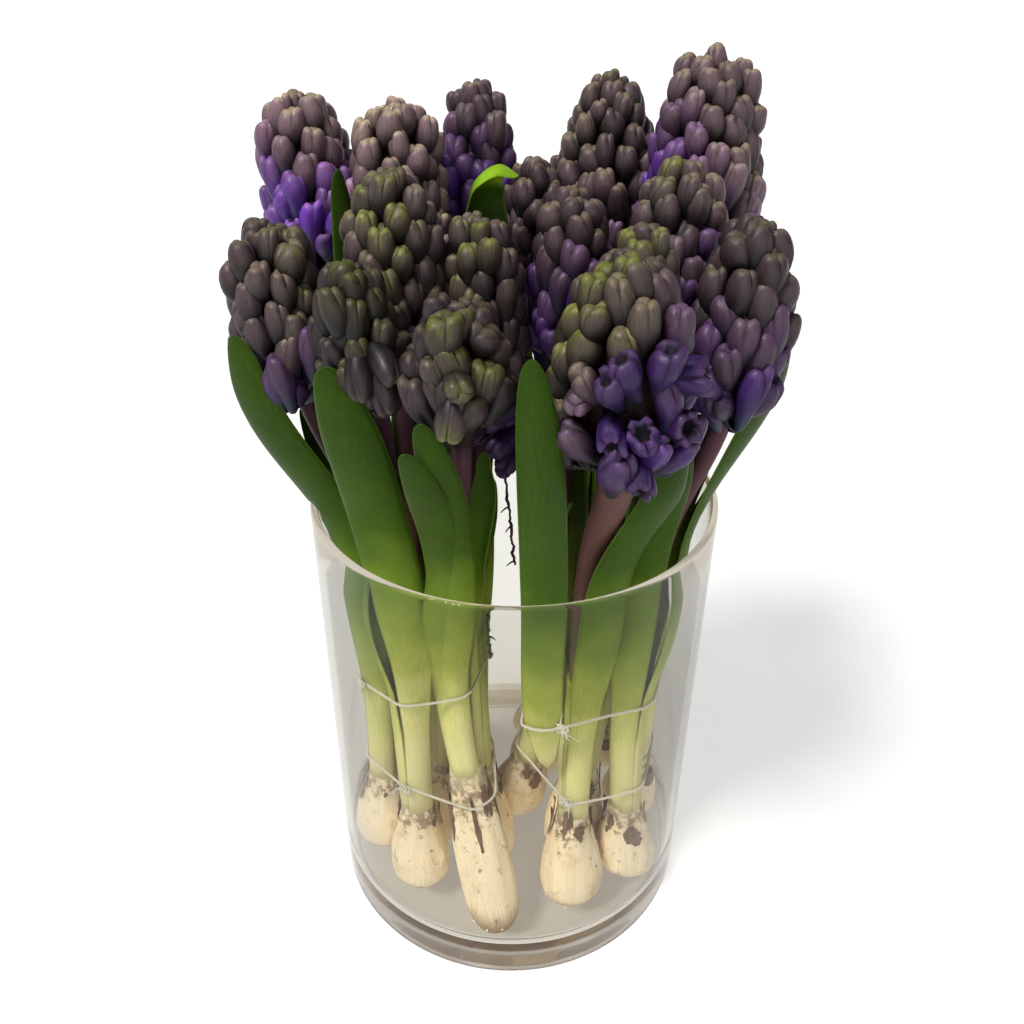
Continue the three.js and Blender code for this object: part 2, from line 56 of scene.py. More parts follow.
# Each plant: its bunch, its bearing round the tie, its bulb's place and top, and its raceme's centre, length,
# radius, lean, droop of the lowest bud and hem. Its leaves are (bearing at the root, tip x, y, z, width,
# bearing faced at the tip, a point passed). Then how its buds look: the share of the raceme that has turned
# violet with the bearing that turned first, how green the tips are and on which side, how pale they are, and
# how far the crown is drawn in. Florets that stand out of order are listed by their mouths: (x, y, z,
# bearing, rise, length, width, age, darkness), where age is 1 for a ripe bud and 2 for an open one.
PLANTS = {
    "A": dict(
        bunch="left", at=206, foot=(-71.3, -18.2), rim=(-71.5, -12.5), bulb_top=70,
        head=(-94, -16, 327), long=78, wide=23, lean=(-0.1, -0.04), droop=55, hem=0.3,
        leaves=[
            (268, -112.5, -41, 326, 21, 262, (-96.5, -33, 271.8)), (120, -98, -6, 282, 15),
            (75, -78, 12, 292, 15),
        ],
        ripe=(0.24, None), lime=(0.6, 20), pale=0.72,
        florets=[
            (-92.3, -38, 318, 262, 82, 26, 11.5, 0.7, 0), (-80.8, -40, 331, 270, 80, 26, 11, 0.6, 0.1),
            (-98, -36, 314, 250, 78, 24, 11, 0.7, 0.15),
        ],
    ),
    "B": dict(
        bunch="left", at=154, foot=(-62, 22), bulb_top=74,
        head=(-92.5, 53, 365), long=76, wide=23.5, lean=(-0.12, 0.05), droop=45,
        leaves=[(130, -112, 80, 374, 18, 160, (-99, 72, 320)), (290, -73, 20, 376, 15)],
        ripe=(0.62, None), lime=(0, 0), pale=1.85, peak=0.15,
    ),
    "C": dict(
        bunch="left", at=103, foot=(-32, 58), bulb_top=67,
        head=(-52, 37, 365), long=74, wide=22, lean=(0, 0.05), droop=45,
        leaves=[(100, -52, 66, 324, 20), (330, -36, 26, 316, 17)],
        ripe=(0.25, 180), lime=(0.3, 200), pale=2.1,
    ),
    "D": dict(
        bunch="left", at=51, foot=(-28, 20), bulb_top=72,
        head=(-20, 66, 366), long=78, wide=20.5, lean=(0.03, 0.08),
        leaves=[(300, -20, 32, 345, 18), (60, -2, 90, 326, 20), (180, -38, 76, 318, 17)],
        ripe=(0.7, None), lime=(0.08, 90), pale=1.05, peak=0.3,
    ),
    "E": dict(
        bunch="left", foot=(-39.2, -13.5), bulb_top=70,
        head=(-50, -8, 349), long=74, wide=21.5, droop=35,
        leaves=[(170, -62, -6, 296, 16), (350, -36, -8, 292, 16)],
        ripe=(0.05, None), lime=(0.7, 250), pale=0.8, peak=0.2,
    ),
    "F": dict(
        bunch="left", at=0, foot=(-13, -32), bulb_top=74,
        head=(-15, -7, 318), long=104, wide=19, droop=-5,
        leaves=[(250, -9, -29, 256, 14, 280, (-15.4, -28, 225.5)), (80, -20, 14, 262, 16)],
        ripe=(0.25, None), lime=(0.5, 240), pale=0.7,
        florets=[
            (-14, -33, 301, 232, -2, 24, 11, 0.9, 0.5), (-12.5, -33, 288, 228, -6, 24, 11, 0.9, 0.5),
            (-9.5, -33, 273, 235, -12, 24, 11, 0.9, 0.55), (-5, -31, 263, 250, -25, 22, 10.5, 0.9, 0.6),
            (-21, -33, 281, 245, -15, 22, 11, 0.7, 0.6),
        ],
    ),
    "G": dict(
        bunch="left", at=257, foot=(-48, -45), bulb_top=67,
        head=(-59, -45, 328), long=66, wide=18, lean=(-0.12, -0.1), droop=-45, hem=0.4,
        leaves=[(300, -71, -68, 325, 26, 280, (-62.6, -59, 285)), (190, -78, -38, 300, 18)],
        ripe=(0, None), lime=(0.8, 300), pale=0.35,
        florets=[
            (-47.8, -66, 306.8, 300, -62, 27, 11, 0, 0.1), (-58, -68, 313, 275, -58, 26, 11, 0, 0.1),
            (-43.4, -68, 321.4, 310, -30, 24, 11.5, 0, 0.2),
        ],
    ),
    "H": dict(
        bunch="left", at=309, foot=(-7, -73), bulb_top=92,
        head=(-21, -68, 323), long=66, wide=20.5, lean=(0, -0.15), droop=-25, hem=0.4,
        leaves=[
            (240, -40.3, -92, 302, 17, 280, (-31.9, -76, 267)),
            (285, -33.9, -88, 312, 18, 285, (-27.7, -78, 281.5)), (60, -8, -48, 284, 16),
        ],
        ripe=(-0.1, None), lime=(0.75, 270), tan=1, pale=0.5, size=1.12, bare=0.5, girth=0.84,
        outline=[(0, 0.5), (0.05, 0.86), (0.2, 1), (0.62, 0.9), (0.85, 0.5), (1, 0.1)],
        florets=[
            (-21.3, -96, 331, 270, 8, 22, 11.5, 0.1, -0.9), (-22.1, -90, 309, 265, -62, 21, 11.5, 0.1, -0.2),
        ],
    ),
    "I": dict(
        bunch="right", at=147, foot=(14, 35), bulb_top=70,
        head=(9.5, 43.5, 342), long=72, wide=16.8, lean=(-0.05, 0.08), droop=45,
        leaves=[(120, -4, 66, 306, 17), (30, 18, 34, 296, 15)],
        ripe=(0.4, None), lime=(0.1, 0), pale=0.8,
    ),
    "J": dict(
        bunch="right", at=196, foot=(2, 5), bulb_top=74,
        head=(22.4, 0, 338), long=80, wide=18.6, lean=(-0.03, 0),
        leaves=[(230, 12, -20, 288, 17), (50, 34, 12, 290, 16)],
        ripe=(0.55, None), lime=(0.2, 270), pale=0.78,
    ),
    "K": dict(
        bunch="right", at=100, foot=(16, 68.2), bulb_top=67,
        head=(43, 82, 363), long=90, wide=28.5, lean=(-0.02, 0.08),
        leaves=[(95, 40, 114, 332, 22), (200, 12, 84, 316, 18), (330, 56, 62, 310, 17)],
        ripe=(0.12, None), lime=(0.3, 180), pale=1.05, peak=0.4,
    ),
    "L": dict(
        bunch="right", at=51, foot=(54, 44), bulb_top=72,
        head=(82.5, 55, 374), long=94, wide=27.5, lean=(0.02, 0.08), droop=45,
        leaves=[(110, 88, 92, 334, 21), (200, 64, 66, 312, 17), (330, 106, 42, 330, 18)],
        ripe=(0.42, 190), lime=(0.1, 90), pale=1.4, peak=0.22,
    ),
    "M": dict(
        bunch="right", at=0, foot=(70, 6), bulb_top=70,
        head=(67, 7, 346), long=82, wide=21.2,
        leaves=[(70, 84, 24, 300, 17), (190, 52, 10, 296, 16)],
        ripe=(0.55, None), lime=(0.5, 200), pale=0.98,
    ),
    "N": dict(
        bunch="right", foot=(34, -22), bulb_top=74,
        head=(48, -29, 336), long=72, wide=17, lean=(0, -0.05), droop=35,
        leaves=[(160, 34, -24, 292, 15), (350, 62, -26, 286, 15)],
        ripe=(0.2, None), lime=(0.8, 240), pale=0.66,
    ),
    "O": dict(
        bunch="right", at=305, foot=(64, -36), bulb_top=67,
        head=(88.3, -27.5, 331), long=88, wide=20.5, lean=(0.03, 0), droop=36, hem=0.6,
        leaves=[
            (345, 119, -8.5, 320, 24, 300, (106, -14.5, 282)),
            (250, 71.5, -42, 287, 20, 285, (64.2, -45, 256.5)), (60, 92, 2, 290, 16),
        ],
        ripe=(0.45, None), lime=(0.15, 90), opening=0.6, size=1.15, pale=0.64,
    ),
    "P": dict(
        bunch="right", at=246, foot=(31.5, -56), rim=(34.3, -49), thick=6.2, bulb_top=72,
        head=(38.5, -72, 328), long=90, wide=27, lean=(-0.02, -0.02), droop=-5,
        leaves=[(284, 69, -57.5, 297, 23, 285, (56, -66.5, 264)), (150, 18, -52, 262, 15)],
        ripe=(0.42, 350), lime=(0.8, 190), bare=0.27, size=1.1, pale=0.72,
        florets=[
            (46, -100, 319, 268, 48, 22, 12.5, 1.9, 0.3), (61, -95, 318, 295, 15, 24, 12, 1.9, 0.3),
            (31.5, -99, 311, 262, -30, 26, 10.5, 1.7, 0.45), (43.5, -99, 294, 272, -35, 26, 11.5, 1.9, 0.4),
            (65.5, -92, 337, 335, 8, 28, 13.5, 1.6, 0.3), (48, -97, 348, 265, 70, 22, 12.5, 1.1, 0.2),
            (35, -99, 345, 225, 60, 22, 11.5, 1.2, 0.3), (29, -99, 338, 230, 50, 22, 11.5, 1.2, 0.3),
            (18, -92, 325, 235, 0, 20, 11, 0.4, -0.3), (20, -92, 338, 215, 50, 22, 11, 0.2, -0.3),
            (60, -55, 306, 50, 0, 26, 12, 1.2, 0.3), (38, -46, 300, 100, -20, 26, 12, 1.7, 0.5),
            (20, -58, 309, 150, 5, 24, 11.5, 0.9, 0.3),
        ],
    ),
}

LOOSE_LEAF = dict(width=20, bow=17, blunt=0.16, points=[
    (18, -49.5, 104, 0, -1, 0), (14, -62, 160, 0, -1, 0), (12.5, -82, 232, 0, -1, 0), (9, -91, 300, 0, -1, 0),
    (5, -90, 341, 0, -1, -0.3),
])
CURLED_LEAF = dict(width=25, bow=17, blunt=0.02, points=[
    (-22, 30, 300, 0, 1, 0), (-17, 24, 330, 0, 1, 0), (-16, 20, 352, -0.3, 1, 0),
    (-17, 19, 366, -0.8, 0.7, 0.1), (-15, 18, 375, -0.6, 0.5, 0.9), (-8, 17, 380, 0, 0.2, 1),
    (0, 16, 376, 0.5, 0, 1),
])
KNOTS = {"left": (215, 250), "right": (250, 255)}  # bearings of the upper and the lower knot
RAISED = {"left": 0, "right": 4}  # how far above its usual height each bunch's upper twine lies
# Dry strands in the gap: where each begins and ends, its thickness, and how far along it forks.
STRANDS = (
    ((-5, -22, 262), (-0.5, -18, 204), 0.8, (0.42, 0.6, 0.97)),
    ((-12.5, -28, 180), (-9.5, -26, 156), 0.9, (0.5,)),
)
# The glass's tints by height: its wall's above, its thick foot's below.
WALL_TINTS = (
    (20, (0.79, 0.765, 0.70)), (60, (0.83, 0.815, 0.765)),
    (232, (0.84, 0.835, 0.79)), (237, (0.88, 0.90, 0.83)),
)
FOOT_TINTS = (1.5, (0.84, 0.84, 0.87)), (4.5, (0.36, 0.285, 0.19)), (19, (0.52, 0.46, 0.355))
UP = np.array([0, 0, 1.0])
# What a finish can read at a point. deep darkens a point: painted shade among the buds and inside open
# mouths, plus the darkness listed for some florets and the dry strands.
TRAITS = ("along", "across", "crease", "ripe", "lime", "tint", "deep", "pale")


# ---------- sums on numbers and lines ----------
def mixed(low, high, share):
    return low + (high - low) * share


def eased(low, high, value):
    """0 below low, 1 above high, and a smooth step between."""
    share = np.clip((value - low) / (high - low), 0, 1)
    return share * share * (3 - 2 * share)


def unit(vectors):
    return vectors / np.maximum(np.linalg.norm(vectors, axis=-1, keepdims=True), 1e-9)


def bearing(angle):
    """The level unit vector at a bearing in degrees, as x and y."""
    return np.array([math.cos(math.radians(angle)), math.sin(math.radians(angle))])


def ways(angles):
    """Level unit vectors at angles in radians, as x, y and z."""
    return np.stack([np.cos(angles), np.sin(angles), 0 * angles], axis=-1)


def round_turn(count):
    """Evenly spaced angles round one full turn."""
    return np.linspace(0, 2 * math.pi, count, endpoint=False)


def joining(low, high, leaving, arriving, step, t):
    """A smooth curve from low to high, t of the way over a step, with its slopes at both ends given."""
    return (
        low * (2 * t**3 - 3 * t**2 + 1)
        + leaving * step * (t**3 - 2 * t**2 + t)
        + high * (3 * t**2 - 2 * t**3)
        + arriving * step * (t**3 - t**2)
    )


def curve_through(marks, values, at):
    """A smooth curve through values at increasing marks."""
    slopes = np.gradient(values, marks, axis=0)
    number = np.clip(np.searchsorted(marks, at, side="right") - 1, 0, len(marks) - 2)
    step = marks[number + 1] - marks[number]
    t = (at - marks[number]) / step
    if values.ndim > 1:
        step, t = step[:, None], t[:, None]
    return joining(values[number], values[number + 1], slopes[number], slopes[number + 1], step, t)


def stepped(path):
    """How far along a path each of its points lies."""
    return np.concatenate([[0], np.cumsum(np.linalg.norm(np.diff(path, axis=0), axis=1))])


def evened(path, count):
    """The same path with its points spaced evenly."""
    gone = stepped(path)
    marks = np.linspace(0, gone[-1], count)
    return np.stack([np.interp(marks, gone, path[:, i]) for i in range(3)], axis=1)


# ---------- gathering a piece's points and faces ----------
def placed(name, data):
    """An object that shows a mesh, a lamp or a camera."""
    thing = bpy.data.objects.new(name, data)
    bpy.context.scene.collection.objects.link(thing)
    return thing


class Body:
    """One piece's points and faces in millimetres, with its traits and the number of its finish."""

    def __init__(self):
        self.points, self.quads, self.triangles = [], [], []
        self.quad_finishes, self.triangle_finishes = [], []
        self.traits = {name: [] for name in TRAITS}
        self.count = 0

    def loft(self, rings, joined=False, finish=0, **traits):
        """Closed bodies from rings of points, as (body, ring, point, xyz) or one body's own, that run
        anticlockwise seen from the tip back. Their ends close on the mean of the end ring, or join."""
        bodies, steps, sides = rings.reshape(-1, *rings.shape[-3:]).shape[:3]
        rings = rings.reshape(bodies, steps, sides, 3)

        def with_poles(values):
            ends = [values[:, :1].mean(2), values[:, -1:].mean(2)]
            flat = values.reshape(bodies, steps * sides, *values.shape[3:])
            return flat if joined else np.concatenate([flat, *ends], axis=1)

        here = np.arange(sides)
        beside = (here + 1) % sides
        rows = np.arange(steps if joined else steps - 1)[:, None] * sides
        above = (rows + sides) % (steps * sides)
        quads = np.stack([rows + here, rows + beside, above + beside, above + here], axis=-1).reshape(-1, 4)
        foot, tip = steps * sides, steps * sides + 1
        last = (steps - 1) * sides
        low = np.stack([here, np.full(sides, foot), beside], axis=1)
        high = np.stack([last + here, last + beside, np.full(sides, tip)], axis=1)
        triangles = np.zeros((0, 3), int) if joined else np.concatenate([low, high])
        points = with_poles(rings)
        shift = np.arange(bodies)[:, None, None] * points.shape[1] + self.count
        for group, finishes, faces in (
            (self.quads, self.quad_finishes, quads), (self.triangles, self.triangle_finishes, triangles)
        ):
            group.append((faces + shift).reshape(-1, faces.shape[1]))
            finishes.append(np.full(len(group[-1]), finish))
        for name in TRAITS:
            values = np.broadcast_to(traits.get(name, 0.0), (bodies, steps, sides)).astype(float)
            self.traits[name].append(with_poles(values).ravel())
        self.points.append(points.reshape(-1, 3))
        self.count += bodies * points.shape[1]

    def piece(self, name, slot, replaced, finishes):
        """Makes the piece: one mesh with its finishes, riding on the vase that holds everything."""
        faces = [face for group in self.quads + self.triangles for face in group.tolist()]
        mesh = bpy.data.meshes.new(name)
        mesh.from_pydata(np.concatenate(self.points) * MM, [], faces)
        numbers = np.concatenate(self.quad_finishes + self.triangle_finishes)
        mesh.polygons.foreach_set("material_index", numbers.astype(np.int32))
        mesh.shade_smooth()
        for trait, values in self.traits.items():
            layer = mesh.attributes.new(trait, "FLOAT", "POINT")
            layer.data.foreach_set("value", np.concatenate(values).astype(np.float32))
        for finish in finishes:
            mesh.materials.append(finish)
        mesh.validate()
        piece = placed(name, mesh)
        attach(piece, "root")
        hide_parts(replaced)


def tube(path, radii, sides=8, joined=False, ahead=(0, 0, 1.0)):
    """Rings of a round tube along a path, or along each of several; ahead is a way that no path takes."""
    before, after = (np.roll(path, 1, 0), np.roll(path, -1, 0)) if joined else (path, path)
    along = unit(after - before if joined else np.gradient(path, axis=-2))
    side = unit(np.cross(np.array(ahead), along))[..., None, :]
    upper = np.cross(along[..., None, :], side)
    turn = round_turn(sides)[:, None]
    ring = np.cos(turn) * side + np.sin(turn) * upper
    return path[..., None, :] + ring * np.broadcast_to(radii, path.shape[:-1])[..., None, None]


# ---------- finishes ----------
class Value:
    """A shader socket; sums, differences, products, quotients and powers of it add their Math nodes."""

    def __init__(self, socket):
        self.socket = socket

    def __add__(self, other):
        return maths("ADD", self, other)

    def __sub__(self, other):
        return maths("SUBTRACT", self, other)

    def __rsub__(self, other):
        return maths("SUBTRACT", other, self)

    def __mul__(self, other):
        return maths("MULTIPLY", self, other)

    def __truediv__(self, other):
        return maths("DIVIDE", self, other)

    def __pow__(self, other):
        return maths("POWER", self, other)

    __radd__, __rmul__ = __add__, __mul__


class Finish:
    """One material or world and its nodes. The functions below add their nodes to the one begun last."""

    def __init__(self, owner):
        Finish.begun = self
        owner.use_nodes = True
        self.owner, self.tree = owner, owner.node_tree
        self.tree.nodes.clear()

    def node(self, kind, settings=None, sockets=None, output=0):
        """Adds a node: its settings, a ramp's stops among them, then its sockets' values or links."""
        made = self.tree.nodes.new("ShaderNode" + kind)
        for name, setting in (settings or {}).items():
            if name == "stops":
                marks = made.color_ramp.elements
                while len(marks) < len(setting):
                    marks.new(1)
                for mark, (position, colour) in zip(marks, setting):
                    mark.position, mark.color = position, (*colour, 1)
            else:
                setattr(made, name, setting)
        for name, value in (sockets or {}).items():
            socket = made.inputs[name]
            if isinstance(value, Value):
                self.tree.links.new(value.socket, socket)
            else:
                colour = isinstance(value, tuple) and socket.type == "RGBA"
                socket.default_value = (*value, 1) if colour else value
        return Value(made.outputs[output]) if made.outputs else None

    def show(self, shader, output="OutputMaterial"):
        self.node(output, sockets={"Surface": shader})
        return self.owner

    def coat(self, colour, rough, relief, gloss=0.5):
        """Shows a plain surface with a colour, a roughness, its relief and its gloss."""
        return self.show(surface(base_color=colour, roughness=rough, normal=relief, specular_ior_level=gloss))


def begin(name):
    return Finish(bpy.data.materials.new(name))


def node(*about, **more):
    return Finish.begun.node(*about, **more)


def maths(operation, *terms):
    return node("Math", {"operation": operation}, dict(enumerate(terms)))


def traits(*names):
    """The named traits of the point that is shaded."""
    return [node("Attribute", {"attribute_name": name}, output="Fac") for name in names]


def place():
    """Where a point is, in metres."""
    return node("TexCoord", output="Object")


def height():
    """How high a point is, in millimetres."""
    return node("SeparateXYZ", sockets={0: place()}, output=2) * 1000


def joined(x, y, z):
    return node("CombineXYZ", sockets={0: x, 1: y, 2: z})


def noise(where, scale, detail=2.0, roughness=0.5):
    sockets = {"Vector": where, "Scale": scale, "Detail": detail, "Roughness": roughness}
    return node("TexNoise", sockets=sockets)


def step(low, high, value):
    """0 below low and 1 above high, smooth between; the other way round if low is the higher."""
    ends = {1: high, 2: low, 3: 1.0, 4: 0.0} if low > high else {1: low, 2: high}
    return node("MapRange", {"interpolation_type": "SMOOTHSTEP"}, {0: value, **ends})


def blend(share, first, second, how="MIX"):
    return node("Mix", {"data_type": "RGBA", "blend_type": how}, {0: share, 6: first, 7: second}, 2)


def stops(value, *stops):
    """A colour by value: each stop is a place from 0 to 1 and the colour there."""
    return node("ValToRGB", {"stops": stops}, {0: value})


def scaled(colour, level):
    """A colour times a grey."""
    return blend(1.0, colour, joined(level, level, level), "MULTIPLY")


def darkened(colour, value, amount):
    """A colour that keeps 1 - amount of itself where value is 1."""
    return scaled(colour, 1 - value * amount)


def bump(height, distance, strength):
    return node("Bump", sockets={"Height": height, "Distance": distance * MM, "Strength": strength})


def surface(**sockets):
    named = {name.replace("_", " ").title().replace("Ior", "IOR"): value for name, value in sockets.items()}
    return node("BsdfPrincipled", sockets=named)


def petal_finish():
    """Waxy buds: mauve-brown when closed, violet when ripe, blue at the base, the youngest green-tipped, with
    painted shade in the creases, towards each bud's base and deep among the buds, and pale patches of painted
    sheen.
    """
    finish = begin("waxy_petal")
    along, across, crease, ripe, lime, tint, deep, pale = traits(*TRAITS)
    grain = joined(across * 9, along * 1.6, tint * 40)
    streaks = noise(grain, 3.0, detail=3, roughness=0.6)
    cloud = noise(place(), 260, detail=3, roughness=0.6)
    closed = stops(streaks, (0.3, (0.062, 0.036, 0.042)), (0.72, (0.140, 0.086, 0.096)))
    young = stops(streaks, (0.3, (0.064, 0.048, 0.030)), (0.72, (0.148, 0.116, 0.072)))
    mauve = stops(streaks, (0.3, (0.064, 0.029, 0.062)), (0.72, (0.140, 0.064, 0.132)))
    violet = stops(streaks, (0.3, (0.036, 0.009, 0.105)), (0.75, (0.088, 0.020, 0.25)))
    colour = blend(step(0.15, 0.75, lime + cloud * 0.5 + tint * 0.3 - 0.4), closed, young)
    ripened = ripe + (0.5 - along) * 0.5 + (cloud - 0.5) * 0.4 + (tint - 0.5) * 0.25
    colour = blend(step(0.0, 0.5, ripened), colour, mauve)
    colour = blend(step(0.35, 0.95, ripened), colour, violet)
    blue = step(0.5, 0.1, along + (streaks - 0.5) * 0.2) * step(0.1, 0.5, ripe + 0.12)
    colour = blend(blue * 0.9, colour, (0.045, 0.075, 0.17))
    papery = step(0.90, 0.985, along + (streaks - 0.5) * 0.12)
    colour = blend(papery * 0.5, colour, blend(step(0.1, 0.6, ripe), (0.30, 0.24, 0.14), (0.19, 0.085, 0.27)))
    tip = step(0.80, 1.0, along + (streaks - 0.5) * 0.3) * step(0.3, 0.85, lime + (cloud - 0.5) * 0.5)
    colour = blend(tip * step(0.35, 0.6, cloud) * 0.95, colour, (0.29, 0.33, 0.035))
    lips = step(0.05, 0.3, crease) * step(0.75, 0.4, crease) * step(0.6, 0.85, along)
    colour = blend(lips * step(0.25, 0.7, lime) * 0.6, colour, (0.27, 0.28, 0.055))
    # Pale patches at random, put in as a painted sheen.
    with_painted_sheen = blend(step(0.4, 0.95, cloud) * 0.15, colour, (0.20, 0.17, 0.18))
    # Painted shade: darker in the creases towards the tip.
    seams = darkened(with_painted_sheen, crease * step(0.5, 0.92, along), 0.65)
    # Painted shade: darker towards each bud's base, less so on ripe ones.
    base = darkened(seams, step(1.0, 0.25, along) * (1 - ripe * 0.5), 0.92)
    # Painted shade: darker deep among the buds.
    colour = darkened(base, deep, 0.93)
    colour = scaled(colour, pale * (0.66 + tint * 0.52))
    relief = bump(streaks * 0.3 + cloud * 0.7, 0.5, 0.5)
    return finish.coat(colour, 0.34 + cloud * 0.16 + crease * 0.4, relief, gloss=0.3)


def stem_finish():
    """The flower stem: pale in the sheath, then green, then speckled purple-brown, and darkened inside the
    raceme as painted shade.
    """
    finish = begin("flower_stem")
    (deep, tint), high = traits("deep", "tint"), height()
    speckle = noise(place(), 900, detail=2)
    cloud = noise(place(), 120, detail=3)
    colour = stops(
        step(110, 330, high + cloud * 40),
        (0.0, (0.50, 0.48, 0.24)),
        (0.35, (0.16, 0.22, 0.05)),
        (0.62, (0.12, 0.055, 0.045)),
        (1.0, (0.075, 0.03, 0.045)),
    )
    colour = blend(tint * 0.8, colour, (0.118, 0.056, 0.046))
    colour = blend(step(0.58, 0.75, speckle) * 0.5, colour, (0.045, 0.018, 0.022))
    # Painted shade: darker inside the raceme.
    colour = darkened(colour, deep, 0.85)
    relief = bump(speckle + cloud, 0.2, 0.4)
    return finish.coat(colour, 0.45, relief, gloss=0.12)


def leaf_finish():
    """Leaves: cream at the bulb, pale in the vase, deep green above, with long veins and paler margins."""
    finish = begin("smooth_leaf")
    along, across, tint, deep, lime = traits("along", "across", "tint", "deep", "lime")
    high = height()
    veins = noise(joined(across * 22, along * 1.5, tint * 30), 2.2, detail=4, roughness=0.62)
    fine = noise(joined(across * 60, along * 2.5, tint * 30), 2.5, detail=1)
    cloud = noise(place(), 45, detail=3)
    rise = step(60, 300, high + (cloud - 0.5) * 50 + (tint - 0.5) * 30)
    colour = stops(
        rise,
        (0.0, (0.80, 0.74, 0.38)),
        (0.12, (0.74, 0.72, 0.27)),
        (0.32, (0.43, 0.48, 0.075)),
        (0.56, (0.175, 0.26, 0.02)),
        (0.80, (0.040, 0.090, 0.003)),
        (1.0, (0.022, 0.053, 0.002)),
    )
    colour = blend(step(0.45, 0.75, veins) * 0.45, colour, (0.085, 0.165, 0.006))
    colour = blend(step(0.5, 0.72, fine) * 0.25, colour, (0.015, 0.040, 0.004))
    edge = step(0.90, 1.0, maths("ABSOLUTE", across))
    colour = blend(edge * 0.45, colour, (0.16, 0.24, 0.04))
    colour = blend(lime, colour, (0.25, 0.46, 0.015))
    # Painted shade where deep is set.
    colour = darkened(colour, deep, 0.6)
    relief = bump(veins * 0.6 + fine * 0.4, 0.4, 0.7)
    return finish.coat(colour, 0.30 + veins * 0.16, relief, gloss=0.1)


def bulb_finish():
    """Bulb scales: ivory, ribbed lengthwise, stained brown where they were peeled."""
    finish = begin("bulb_scale")
    across, along, tint, deep = traits("across", "along", "tint", "deep")
    ribs = noise(joined(across * 26, along * 2.2, tint * 50), 1.6, detail=4, roughness=0.6)
    cloud = noise(place(), 70, detail=4, roughness=0.6)
    spots = noise(place(), 210, detail=4, roughness=0.7)
    colour = stops(ribs, (0.25, (0.90, 0.66, 0.37)), (0.7, (1.0, 0.92, 0.69)))
    colour = blend(step(0.50, 0.75, cloud) * 0.5, colour, (0.60, 0.37, 0.17))
    neck = step(0.62, 0.86, along) * 0.16
    colour = blend(step(0.58, 0.72, spots + neck) * 0.75, colour, (0.17, 0.085, 0.04))
    colour = blend(step(0.86, 1.0, along) * 0.6, colour, (0.62, 0.58, 0.36))
    colour = blend(step(0.2, 0.03, along + (ribs - 0.5) * 0.15) * 0.8, colour, (0.24, 0.13, 0.06))
    # Painted shade where deep is set.
    colour = darkened(colour, deep, 0.5)
    relief = bump(ribs * 0.6 + spots * 0.4, 1.3, 0.8)
    return finish.coat(colour, 0.42 + spots * 0.2, relief)


def husk_finish():
    """Torn papery skin left at a bulb's neck."""
    finish = begin("papery_skin")
    across, along, tint = traits("across", "along", "tint")
    fibres = noise(joined(across * 30, along * 3, tint * 9), 2.0, detail=4)
    colour = stops(fibres, (0.3, (0.05, 0.022, 0.018)), (0.5, (0.17, 0.09, 0.055)), (0.7, (0.50, 0.34, 0.18)))
    relief = bump(fibres, 0.4, 0.7)
    return finish.coat(colour, 0.55, relief)


def twine_finish():
    """Undyed cotton twine."""
    finish = begin("cotton_twine")
    fibres = noise(place(), 1500, detail=3, roughness=0.7)
    colour = stops(fibres, (0.3, (0.50, 0.46, 0.36)), (0.7, (0.80, 0.77, 0.68)))
    relief = bump(fibres, 0.25, 0.8)
    return finish.coat(colour, 0.85, relief)


def glass_finish(name, bend, *tints):
    """Clear glass that bends light by its index, tinted by height and darker towards its outline: partly the
    longer path through the glass, partly painted shade for the dark surroundings seen at its edges. Lamps
    shine through it, and light caught inside the thick foot comes out beige."""
    finish = begin(name)
    ripple = noise(place(), 14, detail=1)
    colour = stops(height() / VASE["height"], *((high / VASE["height"], tint) for high, tint in tints))
    edge = node("LayerWeight", sockets={"Blend": 0.5}, output="Facing")
    lip = step(VASE["height"] - 1, VASE["height"] - 5, height()) * 0.7 + 0.3
    # Darker towards the outline, less so at the lip: partly the longer path through the glass, partly painted
    # shade.
    colour = blend(edge**1.5 * 0.9 * lip, colour, (0.36, 0.355, 0.32))
    relief = bump(ripple, 0.6, 0.25)
    solid = surface(base_color=colour, roughness=0.0, ior=bend, transmission_weight=1.0, normal=relief)
    lamp = node("LightPath", output="Is Shadow Ray")
    spread = node("LightPath", output="Is Diffuse Ray")
    through = maths("MAXIMUM", lamp, spread)
    clear = node("BsdfTransparent", sockets={0: (0.985, 0.98, 0.97)})
    bounced = node("LightPath", output="Glossy Depth")
    trapped = maths("GREATER_THAN", bounced, 2)
    thick = node("BsdfTransparent", sockets={0: (0.62, 0.56, 0.48)})
    escaping = node("MixShader", sockets={0: trapped, 1: solid, 2: thick})
    return finish.show(node("MixShader", sockets={0: through, 1: escaping, 2: clear}))


def floor_finish():
    """A pale floor that glows a little, so that it stays nearly white under the vase."""
    finish = begin("pale_floor")
    grain = noise(place(), 3, detail=2)
    colour = stops(grain, (0.3, (0.44, 0.44, 0.435)), (0.7, (0.46, 0.46, 0.455)))
    glow = dict(emission_color=(1, 1, 1), emission_strength=0.58)
    return finish.show(surface(base_color=colour, roughness=0.7, specular_ior_level=0.1, **glow))


